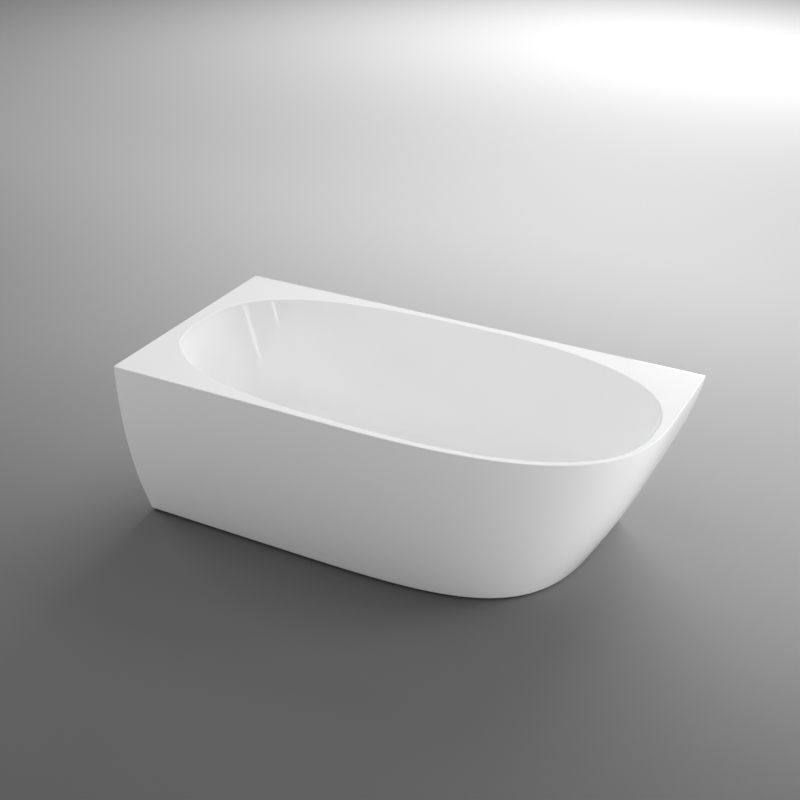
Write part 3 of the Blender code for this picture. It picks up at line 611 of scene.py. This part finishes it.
def wellFace(angle, grow, drop, straightSteps, bendSteps, floorSteps):
    # rings of one face of the well, from the lip down its wall and over the floor to the drain
    top = tub["height"]
    rings = [
        lift(wellRing(angle, share, grow), top - depth - drop * min(1, depth / well["wallDepth"]))
        for share, depth in wallProfile(straightSteps, bendSteps)
    ]
    drain = np.array(well["drain"])
    edge = wellRing(angle, 1.0, grow)
    away = edge - drain
    away /= np.linalg.norm(away, axis=1)[:, None]
    seat = drain + well["seat"] * away
    for share in np.linspace(0, 1, floorSteps + 1)[1:]:
        fall = well["fall"] * smooth(share) + drop
        rings.append(lift(edge + (seat - edge) * share, top - well["depth"] - fall))
    low = top - well["depth"] - well["fall"] - drop
    inner = (well["seat"] * 0.8, well["drainHole"])
    return rings + [lift(drain + radius * away, low) for radius in inner]


def deckRings(angle):
    # the deck's outer edge and the lip are quarter circles, and the deck between them is level
    edge, lip, top = tub["edgeRadius"], well["lip"], tub["height"]
    edgeSteps, acrossSteps, lipSteps = tub["deckSteps"]
    rings = [lift(outline(0.0), tub["joint"])]
    for turn in np.linspace(0, quarter, edgeSteps):
        inset, fall = edge * (1 - math.cos(turn)), edge * (1 - math.sin(turn))
        rings.append(lift(outline(0.0, inset), top - fall))
    inner, rim = outline(0.0, edge), wellRing(angle, 0.0, lip)
    rings += [
        lift(inner + (rim - inner) * share, top) for share in np.linspace(0, 1, acrossSteps)[1:]
    ]
    for turn in np.linspace(0, quarter, lipSteps)[1:-1]:
        grow, fall = lip * (1 - math.sin(turn)), lip * (1 - math.cos(turn))
        rings.append(lift(wellRing(angle, 0.0, grow), top - fall))
    return rings


def overflowMatrix():
    # a point on the front wall, with Z turned square to the wall and into the bath
    depth = well["overflowDepth"]
    lip, wall = well["lip"], well["wallDepth"]
    share = well["wallShare"] * (depth - lip) / (wall - lip)
    y = wellRing(np.array([-quarter]), share)[0, 1]
    lean = math.atan2(well["sideIn"] * well["wallShare"], wall - lip)
    point = Matrix.Translation((well["drain"][0], y, tub["height"] - depth))
    return point @ Matrix.Rotation(lean - quarter, 4, "X")


def makeBasin():
    # deck, lip, well and underside as one closed skin, with the overflow hole cut in
    border = outline(0.0)
    angle = np.arctan2(border[:, 1], border[:, 0] - well["middleX"])
    rings = deckRings(angle) + wellFace(angle, 0.0, 0.0, *well["faceSteps"])
    count = len(rings)
    under = wellFace(angle, well["shell"], well["shell"], *well["underSteps"])
    under[0][:, 2] = tub["joint"]
    basin = gridSurface("basinShell", np.array(rings + under[::-1]), 50, count)
    place(basin, "root", "basin_shell", acrylic, laminate)
    hole = plugGrid(well["overflowHole"], -0.03, 0.03, 64)
    cut(basin, gridSurface("overflowCut", moved(hole, overflowMatrix())))
    return basin


def makeSkin():
    # rings down the outside, a rolled lower edge, rings up the inside, and an opening in the back
    hair = 0.0002  # keeps the skin's top off the basin
    top, bottom, height = tub["joint"] - hair, skinLow.z, tub["height"]
    roll, wall = tub["roll"], tub["skin"]
    rings = [lift(outline(1 - z / height), z) for z in np.linspace(top, bottom + roll, 70)]
    for turn in np.linspace(0, quarter, 7)[1:]:
        z = bottom + roll * (1 - math.sin(turn))
        rings.append(lift(outline(1 - z / height, roll * (1 - math.cos(turn))), z))
    count = len(rings)
    rings.append(lift(outline(1 - (bottom + wall) / height, roll + wall * 0.3), bottom + wall))
    for z in np.linspace(bottom + roll + wall, top, 24):
        rings.append(lift(outline(1 - z / height, wall), z))
    skin = gridSurface("outerSkin", np.array(rings), 50, count)
    (x0, x1), high, radius = tub["opening"]
    corner = np.linspace(0, quarter, 9)
    near, far = radius * (1 - np.cos(corner)), radius * (1 - np.sin(corner))
    belowFloor, reach = -0.1, 0.05
    arch = np.vstack([
        [(x1, belowFloor)],
        np.column_stack([x1 - near, high - far]),
        np.column_stack([x0 + far, high - near]),
        [(x0, belowFloor)],
    ])
    y = tub["width"] / 2 + np.array([-reach, reach])[:, None]
    walls = np.stack([arch[:, 0] + 0 * y, y + 0 * arch[:, 0], arch[:, 1] + 0 * y], -1)
    place(skin, "root", "outer_skin", acrylic, laminate)
    cut(skin, gridSurface("openingCut", capped(walls)))
    return skin


basin, skin = makeBasin(), makeSkin()
print("tub made:", len(basin.data.polygons), "and", len(skin.data.polygons), "faces")

frameLook = {
    "wall": 0.002,
    "corner": 0.003,  # outer radius of the tube
    "burr": 0.0003,  # taken off the cut ends
    "cornerSteps": 7,
    "rodHole": 0.0075,
}
footAxes = [(sum(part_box(f"foot_rod_{k}"), Vector()) / 2).xy for k in range(1, 6)]


def tubeGrid(low, high, axis):
    # a square outline with quarter-circle corners, carried along the axis outside and back inside
    others = [k for k in range(3) if k != axis]
    middle, side = (low + high) / 2, high[others[0]] - low[others[0]]
    steps = frameLook["cornerSteps"]
    turn = (np.arange(4)[:, None] + np.linspace(0, 1, steps)[None]).ravel() * quarter
    signX = np.repeat([1, -1, -1, 1], steps)
    signY = np.repeat([1, 1, -1, -1], steps)

    def square(half, corner, at):
        # half less the corner's radius to each side, then the radius by cosine and sine
        ring = np.empty((4 * steps, 3))
        ring[:, others[0]] = middle[others[0]] + signX * (half - corner) + corner * np.cos(turn)
        ring[:, others[1]] = middle[others[1]] + signY * (half - corner) + corner * np.sin(turn)
        ring[:, axis] = at
        return ring

    half, wall, corner, burr = side / 2, frameLook["wall"], frameLook["corner"], frameLook["burr"]
    inner = corner - wall * 0.8
    start, end = low[axis], high[axis]
    return np.array([
        square(half - burr, corner, start), square(half, corner, start + burr),
        square(half, corner, end - burr), square(half - burr, corner, end),
        square(half - wall, inner, end), square(half - wall, inner, start),
    ])


def makeFrame():
    # a hollow tube along the longest side of each box, with rod holes low in the beams
    for part in sorted(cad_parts):
        if not part.startswith(("frame_beam", "frame_post", "frame_rail")):
            continue
        low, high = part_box(part)
        size = high - low
        axis = max(range(3), key=lambda k: size[k])
        tube = gridSurface(titled(part), tubeGrid(low, high, axis), 35)
        place(tube, "root", part, coat)
        if part.startswith("frame_beam"):
            hole = plugGrid(frameLook["rodHole"], low.z - 0.01, low.z + 0.01, 32)
            spots = [spot for spot in footAxes if low.x < spot.x < high.x]
            cut(tube, *(gridSurface("rodCut", hole + (spot.x, spot.y, 0)) for spot in spots))


def eased(part, finish, width):
    # a copy of the CAD part, merged, whose edges get a narrow rounded bevel
    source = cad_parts[part]
    mesh = source.data.copy()
    work = bmesh.new()
    work.from_mesh(mesh)
    bmesh.ops.remove_doubles(work, verts=work.verts, dist=1e-6)
    bmesh.ops.dissolve_limit(work, angle_limit=0.01, verts=work.verts, edges=work.edges)
    work.to_mesh(mesh)
    work.free()
    mesh.transform(source.matrix_world)
    mesh.materials.clear()
    mesh.shade_smooth()
    piece = bpy.data.objects.new(titled(part), mesh)
    bpy.context.scene.collection.objects.link(piece)
    bevel = piece.modifiers.new("easedEdges", "BEVEL")
    bevel.width, bevel.segments, bevel.limit_method = width, 3, "ANGLE"
    bevel.angle_limit = math.radians(35)
    bevel.harden_normals = True
    place(piece, "root", part, finish)


def makeWoodAndBrackets():
    # boards with sanded edges, and brackets of bent strip with a screw in each
    for board in [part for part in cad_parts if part.startswith(("base_board", "rim_block"))]:
        eased(board, plywood, 0.001)
    for side in ("front_left", "front_centre", "right"):
        eased(f"skin_bracket_{side}", zinc, 0.0005)
        makeScrew(f"bracket_screw_{side}")


def toFlat(angle):
    # the cosine of the angle to the middle of the nearest of six flats
    return np.cos((angle + math.pi / 6) % (math.pi / 3) - math.pi / 6)


def turned(part, profile, matrix, finish, body="root", change=None, around=96, extra=(), sharp=35):
    # the profile turned and set on its axis, with any further grids of the same piece
    grids = [moved(turnedGrid(profile, around, change), matrix), *extra]
    place(gridSurface(titled(part), grids, sharp), body, part, finish)


def uprightIn(low, high, base=0.0):
    # the upright axis through the middle of a box
    return Matrix.Translation(((low.x + high.x) / 2, (low.y + high.y) / 2, base))


screw = {
    "shank": 0.0028,  # radius
    "headHeight": 0.004,
    "headEdge": 0.0022,  # height of its upright edge
    "socket": 0.0024,  # radius before it is made six-sided
    "socketDepth": 0.002,
}


def makeScrew(part):
    # a domed head with a six-sided socket over a straight shank
    low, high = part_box(part)
    head, shank, socket = (high.x - low.x) / 2, screw["shank"], screw["socket"]
    seat, bottom = high.z - screw["headHeight"], high.z - screw["socketDepth"]
    profile = softened([
        (0, low.z), (shank - 0.0005, low.z), (shank, low.z + 0.0008), (shank, seat), (head, seat),
        (head, seat + screw["headEdge"]), (0.7 * head, high.z), (socket, high.z),
        (socket - 0.0002, bottom), (0, bottom),
    ], 0.0004)

    def sixSided(radius, height, angle):
        # near the socket, nine tenths of the radius over the cosine of the angle to a flat
        inside = (radius < socket + 0.0006) & (height > seat + 0.001)
        return np.where(inside, radius * 0.9 / toFlat(angle), radius)

    turned(part, profile, uprightIn(low, high), zinc, "root", sixSided, 48, sharp=sharpDegrees)


makeFrame()
makeWoodAndBrackets()
print("frame made")

foot = {
    "rod": 0.006,  # radius over the thread
    "pitch": 0.00175,
    "threadDepth": 0.0009,
    "threadRows": 8,  # rows for each turn of the thread
    "collar": (0.024, 0.030),  # heights of the rod's six-sided collar
    "collarFlats": 0.0145,
    "collarR": 0.0085,
    "flats": 0.019,  # across the nuts' flats
    "bore": 0.0064,
    "neck": 0.011,  # radius of the pad's top
    "socket": 0.0063,  # radius of the hole in the pad
    "socketZ": 0.006,
    "grooves": 24,
    "grooveDepth": 0.0004,
}


def hexagon(flats, chamfer, low, high):
    # half the flats over the cosine to the nearest flat, held in by a cone at each end
    def change(radius, height, angle):
        # the cone widens by 1.7 times the height from the nearer end
        cone = flats / 2 + chamfer + np.minimum(height - low, high - height) * 1.7
        sides = np.minimum(flats / 2 / toFlat(angle), cone)
        return np.where(radius > flats / 2 - 0.0008, sides, radius)
    return change


def makeNut(part):
    # a hexagon with a chamfered bore
    low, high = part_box(part)
    bore, edge = foot["bore"], 0.0006
    outer = [(foot["flats"] / 2, z) for z in np.linspace(low.z, high.z, 25)]
    profile = [(bore + edge, low.z), *outer, (bore + edge, high.z)]
    profile += [(bore, high.z - edge), (bore, low.z + edge)]
    shape = hexagon(foot["flats"], 0.0001, low.z, high.z)
    turned(part, profile, uprightIn(low, high), zinc, change=shape, around=72, sharp=30)


def makeRod(part, body):
    # the thread's radius falls by a triangle wave of the height in pitches less the angle's share
    low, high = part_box(part)
    radius, depth, pitch = foot["rod"], foot["threadDepth"], foot["pitch"]
    (collarLow, collarHigh), collarR = foot["collar"], foot["collarR"]
    start, end, edge = collarHigh + 0.002, high.z - 0.0005, 0.0006
    root = radius - depth
    lower = [(0, low.z), (radius - edge, low.z), (radius, low.z + edge), (radius, collarLow)]
    collar = [(collarR, z) for z in np.linspace(collarLow, collarHigh, 13)]
    neck = [(root, collarHigh), (root, start - 0.0004)]
    thread = [(radius, z) for z in np.arange(start, end, pitch / foot["threadRows"])]
    tip = [(root, end), (root - 0.0004, high.z), (0, high.z)]
    collarShape = hexagon(foot["collarFlats"], 0.0002, collarLow, collarHigh)

    def change(r, z, angle):
        # the wave is cut flat at its crests and fades out over one pitch at each end
        phase = ((z - start) / pitch - angle / math.tau) % 1
        wave = 1 - np.abs(2 * phase - 1)
        ease = smooth((z - start) / pitch) * smooth((end - z) / pitch)
        cutIn = root + depth * np.minimum(1, wave * 1.25) * ease
        threaded = np.where((z >= start) & (z < end) & (r > radius - 1e-5), cutIn, r)
        sixSided = np.minimum(collarShape(r, z, angle), collarR)
        return np.where(r > collarR - 0.0005, sixSided, threaded)

    profile, axis = lower + collar + neck + thread + tip, uprightIn(low, high)
    turned(part, profile, axis, zinc, body, change, 28, sharp=50)


def makePad(part, body):
    # a flared rubber foot with a rounded skirt and shallow grooves on its cone
    low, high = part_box(part)
    outer, top = (high.x - low.x) / 2, high.z
    neck, socket, socketZ = foot["neck"], foot["socket"], foot["socketZ"]
    profile = softened([
        (0, 0), (outer - 0.0015, 0), (outer, 0.0015), (outer, 0.006), (neck + 0.002, 0.010),
        (neck, top), (socket, top), (socket, socketZ), (0, socketZ),
    ], 0.0012, 6)

    def grooves(radius, height, angle):
        # on the cone, less the depth times half of one less a cosine of the angle
        onCone = (radius > neck + 0.003) & (height > 0.0062)
        groove = foot["grooveDepth"] * (0.5 - 0.5 * np.cos(foot["grooves"] * angle))
        return radius - np.where(onCone, groove, 0)

    axis = uprightIn(low, high, low.z)
    turned(part, profile, axis, rubber, body, grooves, sharp=sharpDegrees)


for k in range(1, 6):
    makePad(f"foot_pad_{k}", f"foot_{k}_base")
    makeRod(f"foot_rod_{k}", f"foot_{k}_screw")
    makeNut(f"foot_boss_{k}")
    makeNut(f"foot_lock_nut_{k}")
print("feet made")

gap = 0.0003  # between pieces that touch
waste = {
    "plug": 0.031,  # radius
    "plugDome": (0.0052, 0.0030),  # its height, and how much of that is the curve
    "hub": 0.012,  # radius of the cone under the plug, at its top
    "stem": 0.003,
    "stemEnd": -0.044,
    "seal": (0.0165, 0.0208),
    "gasket": 0.002,  # thickness
    "bore": 0.0215,
    "sleeve": 0.0245,
    "sleeveEnd": -0.040,
    "flange": 0.035,
    "flangeRise": 0.0020,
    "cup": 0.0290,  # the body's radius round the sleeve
    "cupFlange": 0.0370,
    "neck": 0.0215,  # the body's radius in the trap
    "neckDepth": 0.012,
    "hose": 0.0115,
    "hoseZ": 0.086,
    "ribs": 24,  # round a hand-tightened nut
    "ribDepth": 0.0009,
}
trap = {
    "body": 0.048,
    "wall": 0.0035,
    "bottomZ": 0.012,
    "shoulderZ": 0.046,
    "outletZ": 0.031,
    "socketEnd": 0.016,  # past the body
    "pipe": 0.016,
    "fromWall": 0.010,  # the pipe's end, inside the back of the bath
}
drainX, drainY = well["drain"]
drainZ = tub["height"] - well["depth"] - well["fall"]
drainAxis = Matrix.Translation((drainX, drainY, drainZ))
inletAxis = Matrix.Translation((drainX, drainY, waste["hoseZ"])) @ Matrix.Rotation(quarter, 4, "X")
outletAxis = Matrix.Translation((drainX, drainY, trap["outletZ"]))
outletAxis @= Matrix.Rotation(-quarter, 4, "X")


def ribbedNut(part, matrix, inner, outer, low, high):
    # a ring with bevelled outer corners; between ribs its outside sinks by the square of
    # half of one less a cosine of the angle
    soft = 0.0012
    profile = [
        (inner, low), (outer - soft, low), (outer, low + soft), (outer, high - soft),
        (outer - soft, high), (inner, high),
    ]

    def change(radius, height, angle):
        # nothing sinks within half the nut's thickness of its bore
        share = smooth((radius - inner) / (outer - inner) * 2 - 1)
        sink = (0.5 - 0.5 * np.cos(waste["ribs"] * angle)) ** 2
        return radius - waste["ribDepth"] * share * sink

    turned(part, profile, matrix, greyPlastic, change=change, around=192)


def makeFlange(seat):
    # a lipped sleeve, a hub and a rounded cross bar below the plug
    face, bore, sleeve, end = seat + gap, waste["bore"], waste["sleeve"], waste["sleeveEnd"]
    rim, rise = waste["flange"], waste["flangeRise"]
    flange = softened([
        (bore, end), (sleeve, end), (sleeve, face), (rim, face), (rim - 0.0005, face + 0.0009),
        (bore + 0.003, face + rise), (bore, face + 0.0008),
    ], 0.0005)
    half, low, high = 0.002, -0.033, -0.027
    y, z = softened([(-half, low), (half, low), (half, high), (-half, high)], 0.0006).T
    x = np.linspace(-bore - 0.001, bore + 0.001, 3)[:, None]
    bar = capped(np.stack([x + 0 * y, y + 0 * x, z + 0 * x], -1))
    hub = turnedGrid(band(waste["stem"] + 0.0004, 0.006, low - 0.001, high + 0.003), 48)
    extra = [moved(grid, drainAxis) for grid in (hub, bar)]
    turned("waste_flange", flange, drainAxis, chrome, around=128, extra=extra, sharp=sharpDegrees)


def makePlug(capZ):
    # the dome's height falls by the square of the share of the radius
    radius, stem, end = waste["plug"], waste["stem"], waste["stemEnd"]
    rise, curve = waste["plugDome"]
    dome = [
        (r, capZ + rise - curve * (r / radius) ** 2) for r in np.linspace(radius - 0.0008, 0, 16)
    ]
    plug = [
        (0, end), (stem - 0.0006, end), (stem, end + 0.0006), (stem, capZ - 0.004),
        (waste["hub"], capZ), (radius - 0.001, capZ), (radius, capZ + 0.0010),
        (radius - 0.0002, capZ + 0.0018), *dome,
    ]
    turned("waste_plug", plug, drainAxis, chrome, "plug", around=128)
    seal = band(*waste["seal"], capZ - 0.0022, capZ - gap, 0.0008)
    turned("waste_plug_seal", seal, drainAxis, rubber, "plug")


def makeDrain():
    # from the well's floor down: gaskets, flange, plug, body and the hose's nut
    gasket, hole = waste["gasket"], well["drainHole"] + 0.001
    seat, under = 0.0015 + gap, -well["shell"] - gap
    turned("waste_gasket_upper", band(hole, 0.034, gap, seat), drainAxis, rubber)
    turned("waste_gasket_lower", band(hole, 0.036, under - gasket, under), drainAxis, rubber)
    makeFlange(seat)
    makePlug(seat + gap + waste["flangeRise"] + gap)
    top, shoulder = under - gasket - gap, waste["hoseZ"] - drainZ - 0.014
    neck, cup, rim = waste["neck"], waste["cup"], waste["cupFlange"]
    neckEnd = shoulder - waste["neckDepth"]
    body = softened([
        (neck - 0.0035, neckEnd), (neck, neckEnd), (neck, shoulder), (cup, shoulder + 0.002),
        (cup, top - 0.005), (rim, top - 0.003), (rim, top), (cup - 0.004, top),
        (cup - 0.004, shoulder + 0.005), (neck - 0.0035, shoulder + 0.003),
    ], 0.0008)
    hose = waste["hose"]
    spigot = turnedGrid(band(hose - 0.004, hose - 0.001, 0.0265, 0.052), 96)
    turned("waste_body", body, drainAxis, whitePlastic, extra=[moved(spigot, inletAxis)])
    ribbedNut("hose_nut_lower", inletAxis, hose + gap, hose + 0.005, 0.042, 0.060)
    return neckEnd


def makeTrap(neckEnd):
    # a bottle under the body's neck, its outlet towards the wall, and the two nuts
    neck, body, wall, end = waste["neck"], trap["body"], trap["wall"], trap["socketEnd"]
    bottom, shoulder = trap["bottomZ"] - drainZ, trap["shoulderZ"] - drainZ
    top = neckEnd - gap
    profile = softened([
        (0, bottom), (body - 0.006, bottom), (body, bottom + 0.006), (body, shoulder - 0.004),
        (body - 0.004, shoulder), (neck, shoulder), (neck, top), (neck - wall, top),
        (neck - wall, shoulder - wall), (body - 0.006, shoulder - wall),
        (body - wall, shoulder - 0.008), (body - wall, bottom + 0.007),
        (body - 0.007, bottom + wall), (0, bottom + wall),
    ], 0.0015, 6)
    pipe, start = trap["pipe"], body + end + gap
    socket = turnedGrid(band(0.010, pipe, body - 0.005, body + end), 64)
    extra = [moved(socket, outletAxis)]
    turned(
        "trap_body", profile, drainAxis, whitePlastic, around=128, extra=extra, sharp=sharpDegrees
    )
    ribbedNut("trap_nut", drainAxis, neck + gap, neck + 0.007, neckEnd - 0.006, neckEnd + 0.0085)
    outlet = band(pipe - 0.002, pipe, start, tub["width"] / 2 - trap["fromWall"])
    turned("outlet_pipe", outlet, outletAxis, whitePlastic)
    ribbedNut("outlet_nut", outletAxis, pipe + gap, pipe + 0.006, body + 0.004, start + 0.012)


overflow = {
    "cover": 0.034,  # radius
    "off": 0.004,  # from the wall, where the water goes in
    "coverDome": (0.0075, 0.0010),  # height over that, and how much of it is the curve
    "cup": 0.0235,
    "cupDepth": 0.0165,
    "flange": 0.0320,
    "gasket": 0.002,
}


def makeOverflow():
    # a domed cover inside the well, and a gasket and an elbow behind its wall
    axis = overflowMatrix()
    cover, off, (rise, curve) = overflow["cover"], overflow["off"], overflow["coverDome"]
    dome = [(r, off + rise - curve * (r / cover) ** 2) for r in np.linspace(cover - 0.0025, 0, 12)]
    profile = [
        (0, -0.003), (0.007, -0.003), (0.007, off + 0.002), (cover - 0.003, off + 0.002),
        (cover - 0.002, off), (cover - 0.0003, off), (cover, off + 0.0004), (cover, off + 0.0040),
        (cover - 0.0008, off + 0.0056), *dome,
    ]
    turned("overflow_cover", profile, axis, chrome, around=128)
    back = -well["shell"] - 0.0006 - gap
    cup, flange, gasket = overflow["cup"], overflow["flange"], overflow["gasket"]
    turned("overflow_gasket", band(cup, flange, back - gasket, back), axis, rubber)
    face = back - gasket - gap
    end = face - overflow["cupDepth"]
    elbow = softened([
        (0, end), (cup - 0.002, end), (cup, end + 0.002), (cup, face - 0.004),
        (flange, face - 0.003), (flange, face), (0.0190, face), (0.0190, end + 0.0025),
        (0, end + 0.0025),
    ], 0.0008)
    down = Matrix.Translation((0, 0, (face + end) / 2 - 0.0005)) @ Matrix.Rotation(-quarter, 4, "X")
    spigot = moved(turnedGrid(band(0.005, 0.007, 0.021, 0.040), 48), axis @ down)
    turned("overflow_elbow", elbow, axis, whitePlastic, extra=[spigot], sharp=sharpDegrees)


hoseLook = {
    "wall": 0.002,
    "pitch": 0.0036,  # from ring to ring
    "rowsPerRing": 7,
    "ringDepth": 0.0011,
    "cuff": 0.022,  # smooth length at each end
    "fade": 0.004,  # length over which the rings deepen
    # (y, z) in metres, from the elbow under the front rail to the waste
    "route": (
        (-0.3775, 0.4545), (-0.3660, 0.400), (-0.3560, 0.340), (-0.3430, 0.270), (-0.3180, 0.180),
        (-0.2750, 0.115), (-0.2100, 0.088), (-0.1300, 0.086), (-0.0523, 0.086),
    ),
}


def splinePath(points, steps):
    # between each two points, the cubic whose slopes are half the step between their neighbours
    points = np.array(points)
    ends = np.vstack([2 * points[0] - points[1], points, 2 * points[-1] - points[-2]])
    a, b, c, d = (ends[k:len(ends) - 3 + k, None] for k in range(4))
    s = np.linspace(0, 1, steps, endpoint=False)[None, :, None]
    curve = 2 * b + (c - a) * s + (2 * a - 5 * b + 4 * c - d) * s ** 2
    curve = 0.5 * (curve + (3 * b - a - 3 * c + d) * s ** 3)
    return np.vstack([curve.reshape(-1, 2), points[-1:]])


def makeHose():
    # a circle carried along the route; its radius falls between rings by a cosine of the distance
    pitch, cuff, fade = hoseLook["pitch"], hoseLook["cuff"], hoseLook["fade"]
    path = splinePath(hoseLook["route"], 60)
    length = lengthAlong(path)[-1]
    rows = int(length / pitch * hoseLook["rowsPerRing"])
    distance = np.linspace(0, length, rows)
    line = readAt(path, distance)
    tangent = np.gradient(line, axis=0)
    tangent /= np.linalg.norm(tangent, axis=1)[:, None]
    angle = np.arange(32) * math.tau / 32
    ease = smooth((distance - cuff) / fade) * smooth((length - cuff - distance) / fade)
    wave = (0.5 - 0.5 * np.cos(math.tau * distance / pitch)) ** 1.5
    outer = waste["hose"] - hoseLook["ringDepth"] * ease * wave
    inner = np.full(rows, waste["hose"] - hoseLook["wall"])

    def tube(radius, line, tangent):
        # across is X, and the other side is square to it and to the path
        y = line[:, :1] + radius[:, None] * np.sin(angle) * -tangent[:, 1:]
        z = line[:, 1:] + radius[:, None] * np.sin(angle) * tangent[:, :1]
        x = drainX + radius[:, None] * np.cos(angle) + 0 * y
        return np.stack([x, y, z], -1)

    some = np.linspace(rows - 1, 0, 60).astype(int)
    inside = tube(inner[some], line[some], tangent[some])
    hose = gridSurface("overflowHose", np.concatenate([tube(outer, line, tangent), inside]))
    place(hose, "root", "overflow_hose", greyPlastic)
    print("hose is", round(length, 3), "m long")


makeTrap(makeDrain())
makeOverflow()
makeHose()
print("waste and overflow made")
